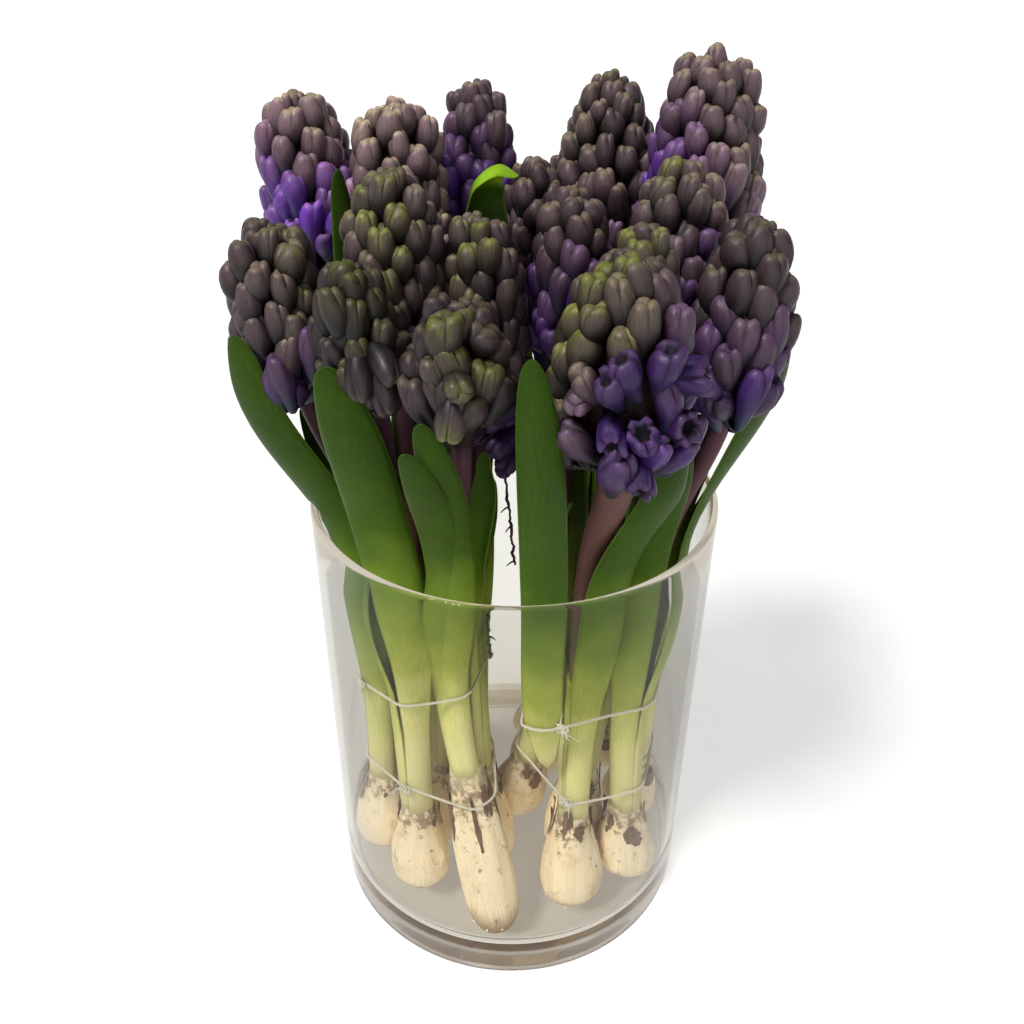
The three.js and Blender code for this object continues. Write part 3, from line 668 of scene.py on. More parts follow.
# ---------- where a plant's stem runs ----------
class Plant:
    """One hyacinth: its facts, and the line of its stem as marked points with slopes."""

    rim = at = None
    lean, droop = (0, 0), 50
    thick, hem, peak, florets, outline = STEM["radius"], 0.85, 0.1, (), BULB_OUTLINE
    tan = bare = opening = 0
    girth = size = 1

    def __init__(self, letter, order, facts):
        vars(self).update(facts)
        self.letter, self.turn = letter, order * 0.7
        self.draw = np.random.default_rng(order + 1)
        x, y, z = self.head
        self.base_z = z - self.long / 2
        lean = np.array(self.lean, float)
        base, tip = np.array([x, y]) - lean * self.long / 2, np.array([x, y]) + lean * self.long / 2
        tie = np.array(BUNCHES[self.bunch], float)
        if self.at is not None:
            tie = tie + TIE["ring"] * bearing(self.at)
        rim = mixed(tie, base, (RIM["z"] - TIE["upper"]) / (self.base_z - TIE["upper"]))
        rim = list(rim * min(1, RIM["reach"] / np.linalg.norm(rim)))
        self.places = np.array([self.foot, tie, self.rim or rim, base, tip], float)
        self.heights = np.array([BULB["foot_z"], TIE["upper"], RIM["z"], self.base_z, z + self.long / 2])
        runs = np.diff(self.places, axis=0) / np.diff(self.heights)[:, None]
        runs = np.vstack([runs, lean])
        self.slopes = np.vstack([runs[:1], (runs[1:] + runs[:-1]) / 2])
        self.slopes[4] = lean

    def level(self, z):
        """The stem's centre at heights z, as x and y."""
        z = np.asarray(z, float)
        number = np.clip(np.searchsorted(self.heights, z) - 1, 0, 3)
        step = self.heights[number + 1] - self.heights[number]
        t = np.minimum((z - self.heights[number]) / step, 1)[..., None]
        places, slopes = self.places[[number, number + 1]], self.slopes[[number, number + 1]]
        place = joining(*places, *slopes, step[..., None], t)
        beyond = np.maximum(z - self.heights[number + 1], 0)[..., None]
        return place + self.slopes[number + 1] * beyond

    def line(self, z):
        """The stem's centre at heights z, as x, y and z."""
        return np.concatenate([self.level(z), np.asarray(z, float)[..., None]], axis=-1)


def rings_round(centres, radii, sides):
    """Level rings round centres; radii may differ by ring and by point."""
    radii = radii[:, None] if radii.ndim == 1 else radii
    return centres[:, None] + ways(round_turn(sides)) * radii[..., None]


# ---------- the vase ----------
def vase():
    """The turned glass cylinder: its wall and, up to the rounded corner inside, its thicker foot."""
    radius, height, wall = VASE["radius"], VASE["height"], VASE["wall"]
    inner, lip = radius - wall, wall / 2

    def arc(cx, cz, size, start, end, steps=9):
        angle = np.radians(np.linspace(start, end, steps))
        return np.stack([cx + size * np.cos(angle), cz + size * np.sin(angle)], axis=1)

    foot, round_in = VASE["foot_round"], VASE["floor_round"]
    underside = [(12, 0.6), (60, 0.6), (78, 0.3), (84, 0)]
    outer = np.linspace((radius, 30), (radius, height - 20), 5)
    inside = np.linspace((inner, height - 20), (inner, 40), 5)
    floor = VASE["floor"]
    # The floor inside has two low rings pressed into it.
    dish = [(80, 0), (78.6, 0.5), (77.2, 0), (68, 0.1), (66.8, 0.4), (65.6, 0.1), (45, 0.1), (12, 0)]
    profile = np.concatenate([
        underside,
        arc(radius - foot, foot, foot, -90, 0),
        outer,
        arc(radius - lip, height - lip, lip, 0, 180, 13),
        inside,
        arc(inner - round_in, floor + round_in, round_in, 0, -90, 11),
        np.array(dish) + (0, floor),
    ])
    centres = np.stack([0 * profile[:, 0], 0 * profile[:, 0], profile[:, 1]], axis=1)
    body = Body()
    body.loft(rings_round(centres, profile[:, 0], VASE["sides"]))
    middles = (profile[1:, 1] + profile[:-1, 1]) / 2
    body.quad_finishes = [np.repeat(middles < floor + round_in, VASE["sides"])]
    body.triangle_finishes = [np.ones(2 * VASE["sides"], int)]
    wall_glass = glass_finish("clear_glass", 1.18, *WALL_TINTS)
    foot_glass = glass_finish("thick_glass", 1.36, *FOOT_TINTS)
    body.piece("glass_vase", "glass", "vase", [wall_glass, foot_glass])


# ---------- bulbs ----------
def bulb_radius(plant, z):
    """A bulb's radius at heights z."""
    shares, sizes = np.array(plant.outline).T
    share = np.clip((z - BULB["foot_z"]) / (plant.bulb_top - BULB["foot_z"]), 0, 1)
    size = np.clip(curve_through(shares, sizes, share), 0, 1.02)
    return mixed(BULB["neck"], BULB["radius"] * plant.girth, size)


def bulb(plant, finishes):
    """A bulb of overlapping scales, with torn skin at its neck and short root stubs under it."""
    draw, body = plant.draw, Body()
    steps, sides = 36, 48
    share = np.linspace(0, 1, steps)
    z = mixed(BULB["foot_z"], plant.bulb_top, share)
    angle = round_turn(sides)
    up = share[:, None]
    radii = bulb_radius(plant, z)[:, None] * np.ones((1, sides))
    waist = np.sin(math.pi * up) ** 0.5
    radii = radii + waist * 0.9 * np.sin(2 * angle + draw.uniform(0, 6) + 2 * up)
    radii = radii + waist * 0.4 * np.sin(3 * angle + draw.uniform(0, 6) - 3 * up)
    ribs = np.sin(11 * angle + draw.uniform(0, 6) + 4 * np.sin(3 * up))
    radii = radii + waist * 0.3 * ribs * np.sin(5 * up + angle)
    for edge in draw.uniform(0.25, 0.95, 3):  # a scale's torn upper edge, standing a little proud
        start, reach = draw.uniform(0, 6.28), draw.uniform(0.8, 1.9)
        inside = eased(reach, reach - 0.25, np.abs((angle - start + math.pi) % (2 * math.pi) - math.pi))
        ragged = edge + 0.04 * np.sin(9 * angle + start) + 0.02 * np.sin(23 * angle)
        radii = radii + 0.7 * inside * eased(ragged + 0.015, ragged - 0.015, up) * eased(0.0, 0.3, up)
    tint = draw.uniform()
    body.loft(rings_round(plant.line(z), radii, sides), along=up, across=np.cos(angle), tint=tint)
    husks(plant, body)
    for bearing_of_root in draw.uniform(0, 360, 15):
        out = np.array([*bearing(bearing_of_root), 0])
        start = plant.line(BULB["foot_z"] + 1.6 + draw.uniform(0, 1.5)) + out * draw.uniform(5.5, 8.5)
        reach = np.linspace(0, draw.uniform(2.5, 6), 5)[:, None]
        path = start + out * reach + np.array([0, 0, -0.03]) * reach**2 * draw.uniform(0, 1)
        body.loft(tube(path, [0.95, 0.9, 0.8, 0.65, 0.4], 7), along=0.5, tint=tint)
    body.piece(f"bulb_{plant.letter}.scales", "bulb", f"bulb_{plant.letter}", finishes)


def husks(plant, body):
    """Strips of torn skin that cling round the neck of a bulb."""
    draw = plant.draw
    for _ in range(6):
        start, wide, low = draw.uniform(0, 360), draw.uniform(6, 18), draw.uniform(0.5, 0.75)
        share = np.linspace(low, min(low + draw.uniform(0.15, 0.42), 1.06), 9)
        z = mixed(BULB["foot_z"], plant.bulb_top, share)
        middle = start + draw.normal(0, 6) * np.linspace(0, 1, 9)
        curl = 0.25 + draw.uniform(0.6, 2.6) * np.linspace(0, 1, 9) ** 2.5
        widths = wide * np.sin(np.linspace(0.5, 2.7, 9)) * (1 + 0.3 * draw.normal(0, 1, 9))
        across = np.linspace(-1, 1, 9)
        level = ways(np.radians(middle[:, None] + widths[:, None] * across))
        jag = draw.normal(0, 0.7, (9, 9)) * np.linspace(0, 1, 9)[:, None]
        radii = bulb_radius(plant, z)[:, None] + curl[:, None] + 0.5 + 0.25 * np.abs(jag)
        outer = plant.line(z)[:, None] + level * radii[..., None]
        outer[..., 2] += jag
        inner = outer - level * 0.45
        rings = np.concatenate([outer, inner[:, ::-1]], axis=1)
        spread = np.concatenate([across, across[::-1]])[None, :]
        body.loft(rings, finish=1, along=share[:, None], across=spread, tint=draw.uniform())


# ---------- leaves ----------
def blade_width(share):
    """How much of its full width a blade has: narrow where it clasps the stem, rounded at its tip."""
    root = LEAF["root_width"] + (1 - LEAF["root_width"]) * eased(-0.1, 0.42, share)
    tip = np.sqrt(np.maximum(0, 1 - np.maximum(0, (share - 0.72) / 0.28) ** 2.4))
    return root * tip


def sweep_blade(body, centres, outward, widths, bows, thick, **traits):
    """A blade along centres: outward is the way its convex face looks, bows the radius it is rolled to."""
    columns = 11
    along = unit(np.gradient(centres, axis=0))
    outward = unit(outward - (outward * along).sum(1, keepdims=True) * along)
    side = np.cross(along, outward)
    across = np.linspace(-1, 1, columns)
    turn = across[None, :] * (widths / 2 / bows)[:, None]
    run, drop = bows[:, None] * np.sin(turn), bows[:, None] * (1 - np.cos(turn))
    face = outward[:, None] * np.cos(turn)[..., None] + side[:, None] * np.sin(turn)[..., None]
    middle = centres[:, None] + side[:, None] * run[..., None] - outward[:, None] * drop[..., None]
    depth = (thick[:, None] * (1 - 0.75 * across**2) / 2)[..., None]
    rings = np.concatenate([middle + face * depth, (middle - face * depth)[:, ::-1]], axis=1)
    away = np.linalg.norm(rings[..., :2], axis=-1)
    inside = VASE["radius"] - VASE["wall"] - 0.5 + 1.2 * np.maximum(0, rings[..., 2] - VASE["height"])
    rings[..., :2] *= np.minimum(1, inside / away)[..., None]
    spread = np.concatenate([across, across[::-1]])[None, :]
    body.loft(rings, across=spread, **traits)


def leaf(body, plant, facts):
    """A blade that clasps its stem up to the tie, then opens out to its tip."""
    root_angle, tip_x, tip_y, tip_z, width, faced, passed = (*facts, None, None)[:7]
    clasp = LEAF["tie_radius"] + plant.thick - STEM["radius"]
    start = bearing(root_angle) * clasp
    whole = np.array([tip_x, tip_y]) - plant.level(tip_z) - start
    square, cube = whole * LEAF["opening"], whole * (1 - LEAF["opening"])
    if passed:
        aside = np.array(passed[:2]) - plant.level(passed[2])
        up = (passed[2] - TIE["upper"]) / (tip_z - TIE["upper"])
        cube = (aside - start - whole * up**2) / (up**3 - up**2)
        square = whole - cube
    root_z = plant.bulb_top - 3
    z = root_z + (tip_z - root_z) * (1 - (1 - np.linspace(0, 1, 44)) ** 1.45)
    share = np.clip((z - LEAF["root"]) / (tip_z - LEAF["root"]), 0, 1)

    def offset(z):
        up = np.maximum(0, (z - TIE["upper"]) / (tip_z - TIE["upper"]))[:, None]
        reach = np.interp(z, [root_z, LEAF["root"], TIE["upper"]], [7.2, 8.3, clasp])[:, None]
        flare = 6 * np.sin(math.pi * np.clip((z - TIE["upper"]) / 92, 0, 1))[:, None] ** 1.3
        return bearing(root_angle) * (reach + flare) + square * up**2 + cube * up**3

    flat = unit(offset(np.minimum(z, tip_z - 8)))
    if faced is not None:
        flat = unit(mixed(flat, bearing(faced), (share**1.5)[:, None]))
    outward = np.concatenate([flat, np.zeros((len(z), 1))], axis=1)
    centres = plant.line(z)
    centres[:, :2] += offset(z)
    sway = 0.9 * eased(150, 230, z) * np.sin((z - root_z) / 21 + plant.draw.uniform(0, 6))
    hood = 5 * eased(0.86, 1.0, share) ** 1.5
    centres -= outward * (hood - sway * 0.5)[:, None]
    widths = np.maximum(width * blade_width(share), np.where(share < 0.5, 15, 0.4))
    bows = width / 20 * np.interp(share, [0, 0.12, 0.5, 0.85, 1], [8.8, 12, 19, 20, 9])
    thick = np.interp(share, [0, 0.2, 0.8, 1], [2.6, LEAF["thick"] * 1.2, LEAF["thick"], 0.7])
    tint = plant.draw.uniform()
    sweep_blade(body, centres, outward, widths, bows, thick, along=share[:, None] * 8, tint=tint)


def leaves(plant, finish):
    """A plant's tuft: the joined pale bases round its stem, then each blade."""
    body = Body()
    z = np.linspace(plant.bulb_top - 4, SHEATH_TOP, 16)
    angle = round_turn(36)
    top = 5.2 + plant.thick - STEM["radius"]
    radii = np.interp(z, [plant.bulb_top, 90, 110, SHEATH_TOP], [7.0, 7.6, 7.4, top])
    seams = 1 - 0.05 * np.abs(np.cos(1.5 * angle + plant.turn)) ** 8
    rings = rings_round(plant.line(z), radii[:, None] * seams, 36)
    body.loft(rings, across=np.sin(angle), tint=plant.draw.uniform())
    for facts in plant.leaves:
        leaf(body, plant, facts)
    if plant.letter == "D":
        share = np.linspace(0, 1, LEAF["steps"])[:, None]
        free_blade(body, CURLED_LEAF, tint=0.5, lime=eased(0.62, 0.74, share) * 0.95)
    body.piece(f"leaves_{plant.letter}.blades", "leaf", f"leaves_{plant.letter}", [finish])


def free_blade(body, blade, **traits):
    """A blade along given points: (x, y, z), then the way its convex face looks there."""
    facts = np.array(blade["points"], float)
    share = 1 - (1 - np.linspace(0, 1, LEAF["steps"])) ** 1.4
    marks = stepped(facts[:, :3])
    centres = curve_through(marks / marks[-1], facts[:, :3], share)
    outward = unit(curve_through(marks / marks[-1], facts[:, 3:], share))
    blunt = np.sqrt(np.clip(share / blade["blunt"], 0, 1)) * 0.98 + 0.02
    widths = blade["width"] * blunt * np.maximum(blade_width(np.maximum(share, 0.45)), 0.02)
    bows = blade["bow"] * np.interp(share, [0, 0.2, 0.6, 1], [0.8, 0.9, 1, 0.55])
    thick = np.interp(share, [0, 0.1, 0.8, 1], [0.7, 1.8, 1.5, 0.7])
    sweep_blade(body, centres, outward, widths, bows, thick, along=share[:, None] * 8, **traits)


def loose_leaf(finish):
    """The cut leaf held under the right bunch's twine."""
    body = Body()
    free_blade(body, LOOSE_LEAF, tint=0.35)
    body.piece("loose_leaf.blade", "leaf", "loose_leaf", [finish])


# ---------- flowers ----------
def raceme_width(share, hem):
    """How much of its full radius a raceme has at a share of its height; hem is what it has at its foot."""
    low = hem + (1 - hem) * np.sin(np.clip(share / 0.38, 0, 1) * math.pi / 2)
    high = np.maximum(0, 1 - np.maximum(0, (share - 0.38) / 0.68) ** 2.5) ** 0.4
    return np.where(share < 0.38, low, high)


def lowest(plant):
    """How high up the raceme the lowest tips are, so that their buds' bases sit at its foot."""
    length = BUD["length"] * (1 + 0.6 * plant.opening)
    return max(0.03, (length * math.sin(math.radians(plant.droop)) - 4) / plant.long)


def raceme_spots(plant, shares):
    """How high up the raceme and how far out florets stand, when spread evenly over its sides and crown."""
    up = np.linspace(lowest(plant), 0.95, 200)
    out = raceme_width(up * 0.94, plant.hem) * (1 - plant.peak * eased(0.45, 1.0, up))
    up, out = np.append(up, np.linspace(0.95, 0.99, 40)), np.append(out, np.linspace(out[-1], 0, 40))
    run = np.hypot(np.diff(out) * plant.wide, np.diff(up) * plant.long) * (out[1:] + out[:-1])
    gone = np.append(0, np.cumsum(run)) / run.sum()
    return np.interp(shares, gone, up), np.interp(shares, gone, out)


def depth_in_raceme(plant, points):
    """1 deep among a raceme's buds, 0 at its outside: how much painted shade darkens them there."""
    share = (points[..., 2] - plant.base_z) / plant.long
    away = np.linalg.norm(points[..., :2] - plant.level(points[..., 2]), axis=-1) / plant.wide
    low = away / raceme_width(np.clip(share, 0, 0.38), plant.hem)
    high = np.hypot(away, (share - 0.38) / 0.68)
    return eased(0.97, 0.6, np.where(share < 0.38, low, high)) * eased(-0.25, 0.1, share)


# A floret's outline as a closed bud, a ripe bud and an open mouth: shares of its length, then of its width.
CLOSED = (
    [0, 0.10, 0.20, 0.32, 0.44, 0.56, 0.68, 0.78, 0.86, 0.925, 0.97, 0.99, 0.985, 0.965],
    [0.34, 0.54, 0.71, 0.85, 0.94, 1.0, 0.985, 0.93, 0.83, 0.69, 0.52, 0.34, 0.19, 0.07],
)
RIPE = (
    [0, 0.10, 0.20, 0.32, 0.44, 0.56, 0.68, 0.78, 0.87, 0.94, 0.985, 1.0, 0.98, 0.94],
    [0.26, 0.38, 0.46, 0.54, 0.68, 0.86, 0.97, 1.0, 0.95, 0.82, 0.62, 0.42, 0.26, 0.12],
)
OPEN = (
    [0, 0.10, 0.20, 0.32, 0.44, 0.56, 0.68, 0.78, 0.88, 0.96, 1.0, 0.985, 0.92, 0.78],
    [0.26, 0.38, 0.43, 0.46, 0.58, 0.80, 0.96, 1.0, 0.99, 0.93, 0.79, 0.61, 0.47, 0.28],
)
# Round each of three petals in six steps from its seam: how far it stands out, how far on it reaches, and how
# deep its crease is. Each comes as two lists, for a closed bud and for an open one.
FLORET_TURNS = (np.radians([0, 120, 240])[:, None] + np.radians([0, 9, 33, 60, 87, 111])).ravel()
PETAL_STANDS = ([-0.08, 0.0, 0.03, 0.04, 0.03, 0.0], [-0.14, 0.01, 0.045, -0.06, 0.045, 0.01])
PETAL_REACHES = ([0, 0.55, 0.9, 1, 0.9, 0.55], [0, 0.7, 1, 0.35, 1, 0.7])
PETAL_CREASES = ([1, 0.2, 0, 0.05, 0, 0.2], [1, 0.2, 0, 0.6, 0, 0.2])


def aged(pair, age):
    """Values for each floret by its age, 0 closed and 2 open: only the mouth's opening parts them past 1."""
    return mixed(np.tile(pair[0], 3), np.tile(pair[1], 3), eased(0.8, 1.8, age)[:, None])


def floret_rings(florets, wrinkle, draw):
    """Florets as stacks of rings: three petals, each with its own rounded end, meet in seams at the mouth."""
    age, ups, outs = florets["age"], florets["ups"], florets["outs"]
    young, late = np.clip(age, 0, 1)[:, None], np.clip(age - 1, 0, 1)[:, None]
    along, size = (
        mixed(mixed(np.array(CLOSED[i]), np.array(RIPE[i]), young), np.array(OPEN[i]), late) for i in (0, 1)
    )
    stands, reaches, crease = (aged(pair, age) for pair in (PETAL_STANDS, PETAL_REACHES, PETAL_CREASES))
    uneven = np.repeat(draw.normal(0, 1, (len(age), 3)), 6, axis=1)
    stands, reaches = stands + uneven * 0.025, reaches + uneven * 0.35
    groove = (0.05 + 0.5 * eased(0.5, 0.9, along) + 2.2 * eased(0.78, 0.98, along))[..., None]
    waves = draw.uniform(0, 6.28, (4, len(age), 1, 1))
    turn, up = FLORET_TURNS, along[..., None]
    lumpy = 0.025 * np.sin(2 * turn + waves[0]) + 0.02 * np.sin(up * 7 + waves[1])
    folds = np.sin(7 * turn + waves[2] + 4 * up) * np.sin(up * 8 + waves[3])
    folds = folds + 0.6 * np.sin(4 * turn - 9 * up + waves[1])
    radius = size[..., None] * (1 + stands[:, None] * groove + lumpy + wrinkle * 0.06 * folds)
    radius = radius * florets["widths"][:, None, None] / 2
    sides = np.cross(ups, outs)
    turned = turn[None, None, :] + florets["rolls"][:, None, None]
    level = np.cos(turned)[..., None] * sides[:, None, None] + np.sin(turned)[..., None] * ups[:, None, None]
    sag = 0.2 * (along - along**2) * florets["outs"][:, 2:3]
    bend = draw.normal(0, 0.07, (len(age), 1)) * along**2
    middle = up * outs[:, None] - sag[..., None] * ups[:, None] + bend[..., None] * sides[:, None]
    centres = florets["places"][:, None] + middle * florets["lengths"][:, None, None]
    mouth = np.arange(along.shape[1]) / (along.shape[1] - 1)
    ends = eased(0.5, 0.72, mouth) * eased(1.0, 0.8, mouth)
    reach = (0.08 + 0.015 * np.clip(age - 0.4, 0, 1.4))[:, None, None] * ends[None, :, None]
    reach = reach * (reaches - 0.5)[:, None]
    rings = centres[:, :, None] + level * radius[..., None]
    rings = rings + outs[:, None, None] * (reach * florets["lengths"][:, None, None])[..., None]
    # Painted shade inside an open mouth: it darkens the seams and the depth there.
    inside = eased(0.76, 0.95, mouth)[None, :] * np.clip(age[:, None] - 0.3, 0, 1)
    return rings, up, crease[:, None], inside[..., None]


def spiral(plant):
    """Florets by the golden angle up the raceme: the lowest lean out or hang, and the top ones stand up."""
    draw = plant.draw
    count = round(plant.long * (1.05 - lowest(plant)) * plant.wide * BUD["density"] / plant.size**2)
    number = np.arange(count)
    share = (number + 0.5) / count
    height, reach = raceme_spots(plant, share)
    angle = number * GOLDEN_ANGLE + plant.turn + draw.normal(0, 0.08, count)
    lumps = 1 + 0.05 * np.sin(2 * angle + 7 * height + plant.turn) + 0.03 * np.sin(3 * angle - 11 * height)
    height, reach = height + draw.normal(0, 0.012, count), reach * plant.wide * lumps
    rise = np.radians(mixed(plant.droop, BUD["most_up"], 1 - (1 - share) ** 2.8))
    rise = rise + draw.normal(0, 0.13, count)
    ripe_share, first = plant.ripe
    side = 0 if first is None else np.cos(angle - math.radians(first)) * 0.24
    ripe = eased(0.42, -0.25, height - ripe_share - side + draw.normal(0, 0.06, count))
    green, green_side = plant.lime
    lit = 0.55 + 0.45 * np.cos(angle - math.radians(green_side))
    lime = green * lit * (0.35 + 0.85 * height) * draw.uniform(0.5, 1.3, count)
    room = 2 * math.pi * plant.size**2 / BUD["density"] * mixed(1.0, 0.84, share**2)
    widths = np.sqrt(room / BUD["slender"]) * draw.normal(1, 0.09, count)
    lengths = mixed(BUD["length"], BUD["least"], share) * (1 + 0.15 * ripe)
    lengths = lengths * draw.normal(plant.size, 0.09, count)
    loosening = plant.opening * eased(0.42, 0.12, height)
    lengths = lengths * (1 + 0.3 * loosening)
    room_inside = (reach + 2) / np.maximum(np.cos(rise), 0.3)
    lengths = np.where(height < 0.4, np.minimum(lengths, room_inside), lengths)
    half_run, half_wide = lengths / 2 * np.cos(rise), widths / 2 * np.sin(rise)
    proud = np.hypot(half_run, half_wide) - half_run
    tips = plant.line(plant.base_z + plant.long * height)
    tips = tips + ways(angle) * np.maximum(reach - proud + draw.normal(0, 0.8, count), 0.8)[:, None]
    age = np.clip(ripe * draw.uniform(0.6, 1.15, count) + plant.tan * 0.7, 0, 1.3)
    made = florets_at(tips, angle + draw.normal(0, 0.16, count), rise, lengths, widths, age, ripe, lime)
    made["dark"] = loosening
    return {name: values[height > plant.bare] for name, values in made.items()}


def florets_at(tips, angle, rise, lengths, widths, age, ripe, lime):
    """Florets by their tips: each one's base, which way it points and its upper side faces, and its looks."""
    level, run, lift = ways(angle), np.cos(rise)[:, None], np.sin(rise)[:, None]
    outs, ups = level * run + UP * lift, UP * run - level * lift
    looks = dict(age=age, ripe=ripe, lime=lime, dark=0 * age)
    places = tips - outs * lengths[:, None]
    return dict(places=places, outs=outs, ups=ups, lengths=lengths, widths=widths, **looks)


def chosen(plant):
    """The florets that stand out of a raceme's order, such as the open ones: each by its mouth's place."""
    x, y, z, angle, rise, lengths, widths, age, dark = np.array(plant.florets, float).T
    tips = np.stack([x, y, z], axis=1)
    ripe = np.clip(age, 0, 1)
    lime = 0 * x + 0.6 * plant.tan
    made = florets_at(tips, np.radians(angle), np.radians(rise), lengths, widths, age, ripe, lime)
    return {**made, "dark": dark}


def buds(plant, body):
    """All the florets of a raceme; one that is placed by itself clears room among the rest."""
    draw = plant.draw
    florets = spiral(plant)
    if plant.florets:
        extra = chosen(plant)
        bellies, others = (
            group["places"] + group["outs"] * group["lengths"][:, None] * 0.7 for group in (florets, extra)
        )
        clear = np.linalg.norm(bellies[:, None] - others, axis=-1).min(1) > BUD["clear"]
        florets = {name: np.concatenate([florets[name][clear], extra[name]]) for name in florets}
    count = len(florets["age"])
    florets["rolls"] = draw.uniform(0, 6.28, count)  # how far each is turned about its own middle
    rings, along, crease, inside = floret_rings(florets, plant.tan, draw)
    tints = draw.uniform(0, 1, count)[:, None, None]
    # Painted shade: crease and inside darken the seams and open mouths, and deep darkens the buds deep in the
    # raceme; each floret's listed darkness adds to deep.
    body.loft(
        rings,
        along=along,
        across=np.sin(FLORET_TURNS),
        crease=np.maximum(crease, inside),
        ripe=florets["ripe"][:, None, None],
        lime=florets["lime"][:, None, None],
        tint=tints,
        pale=plant.pale,
        deep=np.maximum(np.maximum(depth_in_raceme(plant, rings), inside), florets["dark"][:, None, None]),
    )
    low = florets["places"][:, 2] < plant.base_z + plant.long * 0.3
    pedicels(plant, body, {name: values[low] for name, values in florets.items()}, tints[low])


def pedicels(plant, body, florets, tints):
    """The short stalk that carries each floret from the stem."""
    start = florets["places"] + florets["outs"] * 0.6
    middle = plant.line(start[:, 2] + 3)
    end = middle + (start - middle) * 0.12
    share = np.linspace(0, 1, 6)[None, :, None]
    path = start[:, None] * (1 - share) + end[:, None] * share
    path[..., 2] -= (2.2 * np.sin(math.pi * share[..., 0])) * np.clip(florets["outs"][:, 2:3], 0, 1)
    rings = tube(path, florets["widths"][:, None] * 0.13 * (1 - 0.3 * share[..., 0]))
    # Painted shade among the buds, by the stalks' depth in the raceme.
    body.loft(rings, along=0.12, ripe=0.9, tint=tints, deep=depth_in_raceme(plant, rings))


def stem(plant, body):
    """The flower stem and the middle of the raceme that the buds stand out of, darkened there as painted
    shade.
    """
    z = np.linspace(STEM["bottom"], plant.base_z + plant.long * 0.8, 44)
    share = (z - plant.base_z) / plant.long
    swell = plant.wide * np.interp(share, [0.0, 0.08, 0.3, 0.66, 0.8], [0, 0.26, 0.54, 0.5, 0.2])
    wider = 1 + 0.22 * (plant.thick > STEM["radius"]) * eased(225, 285, z)
    radii = np.maximum(plant.thick * wider, swell)
    rings = rings_round(plant.line(z), radii, 22)
    # Painted shade: darker inside the raceme.
    deep = eased(-0.05, 0.12, share)[:, None]
    body.loft(rings, finish=1, deep=deep, tint=float(plant.thick > STEM["radius"]))


def withered(body, draw):
    """Thin dry strands that hang in the gap between the bunches."""
    down = np.linspace(0, 1, 60)[:, None]
    kinks = np.cumsum(draw.normal(0, 0.3, (60, 3)), axis=0) * [1, 1, 0]
    dark = dict(finish=1, deep=0.8)
    for start, end, thick, forks in STRANDS:
        path = mixed(np.array(start, float), np.array(end, float), down)
        path = path + kinks * math.copysign(thick, end[0] + 5)
        body.loft(tube(path, thick * (0.8 + 0.15 * np.sin(down[:, 0] * 23)), 7, ahead=(0, 1.0, 0)), **dark)
        for fork in forks:
            at = path[int(fork * 59)]
            reach = np.linspace(0, 1, 9)[:, None]
            aside = draw.choice([-1, 1]) * draw.uniform(2, 4)
            aim = np.array([aside, draw.normal(0, 1), draw.uniform(-3.5, 1)])
            twig = at + aim * reach + np.array([0, 0, -2]) * reach**2
            body.loft(tube(twig, np.linspace(0.55, 0.25, 9), 6, ahead=(0, 1.0, 0)), **dark)


def flower(plant, finishes):
    """A plant's stem and raceme; the dry strands go with plant F, which stands in the gap."""
    body = Body()
    stem(plant, body)
    buds(plant, body)
    if plant.letter == "F":
        withered(body, plant.draw)
    body.piece(f"flower_{plant.letter}.raceme", "flower", f"flower_{plant.letter}", finishes)


# ---------- ties ----------
def hull(points):
    """The convex outline of plane points, anticlockwise."""
    ordered = sorted(map(tuple, points))

    def half(chain_of):
        chain = []
        for point in chain_of:
            while len(chain) > 1:
                (ax, ay), (bx, by) = chain[-2], chain[-1]
                if (bx - ax) * (point[1] - ay) - (by - ay) * (point[0] - ax) > 0:
                    break
                chain.pop()
            chain.append(point)
        return chain[:-1]

    return np.array(half(ordered) + half(ordered[::-1]))


def tie(name, replaced, held, z, knot_bearing, finish, draw):
    """Two-ply twine drawn round the held pieces at a height, with a knot and frayed ends."""
    near = []
    for held_name in held:
        vertices = bpy.data.objects[held_name].data.vertices
        points = np.empty(len(vertices) * 3, np.float32)
        vertices.foreach_get("co", points)
        points = points.reshape(-1, 3) / MM
        near.append(points[np.abs(points[:, 2] - z) < 4][:, :2])
    near = np.concatenate(near)
    grown = near[:, None] + 1.1 * ways(round_turn(16))[:, :2]
    outline = hull(grown.reshape(-1, 2))
    closed = np.vstack([outline, outline[:1]])
    path = evened(np.column_stack([closed, np.full(len(closed), z)]), 701)[:-1]
    for _ in range(12):
        path = (np.roll(path, 1, 0) + path * 2 + np.roll(path, -1, 0)) / 4
    middle = path.mean(0)
    out = unit(np.cross(np.roll(path, -1, 0) - np.roll(path, 1, 0), UP))
    gone = np.linspace(0, 1, len(path), endpoint=False)
    path = path + UP * (0.5 * np.sin(2 * math.pi * gone * 3) + 0.2 * np.sin(gone * 44))[:, None]
    length = np.linalg.norm(np.diff(path, axis=0), axis=1).sum()
    turns = round(length / 3.4)
    body = Body()
    for ply in (0, 1):
        turn = (2 * math.pi * turns * gone + math.pi * ply)[:, None]
        strand = path + 0.36 * (np.cos(turn) * out + np.sin(turn) * UP)
        body.loft(tube(strand, 0.42, 6, joined=True), joined=True)
    aim = bearing(knot_bearing)
    place = path[np.argmax(unit(path - middle)[:, :2] @ aim)] + np.array([*aim, 0]) * 1.2
    knot(body, place, np.array([*aim, 0]), draw)
    body.piece(name, "string", replaced, [finish])


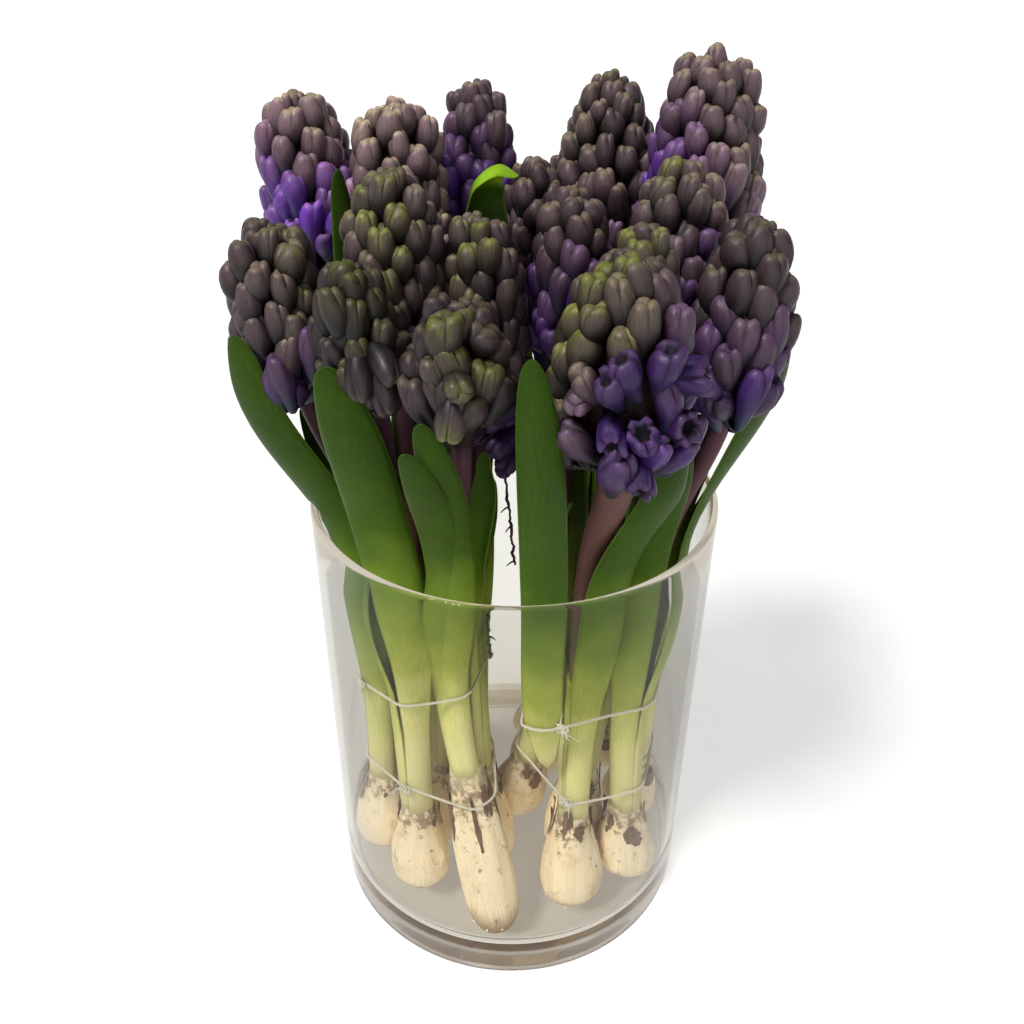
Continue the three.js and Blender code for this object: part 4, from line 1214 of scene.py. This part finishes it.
def knot(body, place, out, draw):
    """An overhand knot with two loops pulled tight and ends that fray."""
    side = np.cross(out, UP)
    t = round_turn(90)[:, None]
    for size, tilt in ((2.0, 0.3), (1.6, -0.9)):
        flat, high = np.sin(t) + 2 * np.sin(2 * t), np.cos(t) - 2 * np.cos(2 * t)
        across = flat * math.cos(tilt) - high * math.sin(tilt)
        rise = flat * math.sin(tilt) + high * math.cos(tilt)
        path = place + size * 0.5 * (across * side + rise * UP) - 0.5 * np.sin(3 * t) * out
        body.loft(tube(path, 0.55, 6, joined=True, ahead=out), joined=True)
    for way in (-1, 1):
        for _ in range(14):
            reach = np.linspace(0, 1, 12)[:, None]
            aim = side * way * draw.uniform(0.2, 1.0) + UP * draw.normal(0.5 * way, 0.5)
            aim = aim + out * draw.uniform(0.05, 0.5)
            bend = side * draw.normal(0, 1.5) + UP * draw.normal(-0.6, 1.5) + out * draw.normal(0, 0.6)
            path = place + aim * reach * draw.uniform(2.5, 6.5) + bend * reach**2
            body.loft(tube(path, np.linspace(0.34, 0.14, 12), 5, ahead=out))


# ---------- the whole object ----------
plants = [Plant(letter, order, facts) for order, (letter, facts) in enumerate(PLANTS.items())]
vase()
bulb_finishes = [bulb_finish(), husk_finish()]
flower_finishes = [petal_finish(), stem_finish()]
blades, twine = leaf_finish(), twine_finish()
for plant in plants:
    bulb(plant, bulb_finishes)
    leaves(plant, blades)
    flower(plant, flower_finishes)
loose_leaf(blades)
for bunch, (upper, lower) in KNOTS.items():
    letters = [letter for letter, facts in PLANTS.items() if facts["bunch"] == bunch]
    held = [f"leaves_{letter}.blades" for letter in letters] + [f"bulb_{letter}.scales" for letter in letters]
    if bunch == "right":
        held.append("loose_leaf.blade")
    draw = np.random.default_rng(upper)
    high = TIE["upper"] + RAISED[bunch]
    tie(f"upper_twine_{bunch}", f"upper_tie_{bunch}", held, high, upper, twine, draw)
    tie(f"lower_twine_{bunch}", f"lower_tie_{bunch}", held, TIE["lower"], lower, twine, draw)


# ---------- floor, light and camera ----------
def floor():
    half = 30
    corners = [(-half, -half, 0), (half, -half, 0), (half, half, 0), (-half, half, 0)]
    mesh = bpy.data.meshes.new("floor")
    mesh.from_pydata(corners, [], [(0, 1, 2, 3)])
    mesh.materials.append(floor_finish())
    ground = placed("floor", mesh)
    ground.location.z = -0.0005


def lamp(name, place, aim, spread, strength):
    """A lamp far enough off to light the floor evenly; spread is how wide it looks, in degrees."""
    light = bpy.data.lights.new(name, "SUN")
    light.angle, light.energy = math.radians(spread), strength
    holder = placed(name, light)
    holder.location = place
    holder.rotation_euler = (Vector(aim) - Vector(place)).to_track_quat("-Z", "Y").to_euler()


def room_light():
    """Pale light from all round, brightest at the horizon."""
    finish = Finish(bpy.data.worlds.new("studio"))
    up = node("SeparateXYZ", sockets={0: node("TexCoord", output="Generated")}, output=2)
    glow = stops(up, (0.0, (1, 1, 1)), (0.2, (0.24, 0.24, 0.24)))
    shade = node("Background", sockets={"Color": glow, "Strength": 0.9})
    bpy.context.scene.world = finish.show(shade, "OutputWorld")


def camera():
    """Looks down on the vase from the front, a little above the flowers."""
    place = Vector((-0.25, -400.5, 475.4)) * MM
    pitch, yaw, roll = 0.5621, -0.002, 0.0119
    ahead = Vector((math.sin(yaw) * math.cos(pitch), math.cos(yaw) * math.cos(pitch), -math.sin(pitch)))
    level = Vector((math.cos(yaw), -math.sin(yaw), 0))
    upper = level.cross(ahead)
    right = math.cos(roll) * level + math.sin(roll) * upper
    up = -math.sin(roll) * level + math.cos(roll) * upper
    lens = bpy.data.cameras.new("camera")
    lens.lens, lens.sensor_width = 34.72, 36
    lens.clip_start, lens.clip_end = 0.01, 100
    holder = placed("camera", lens)
    holder.matrix_world = Matrix.Translation(place) @ Matrix((right, up, -ahead)).transposed().to_4x4()
    bpy.context.scene.camera = holder


floor()
lamp("key_light", (-0.65, -0.55, 1.6), (0, 0, 0.25), 14, 3.3)
lamp("fill_light", (0.3, -1.5, 0.55), (0, 0, 0.2), 50, 0.95)
room_light()
camera()
bpy.context.scene.view_settings.view_transform = "Standard"
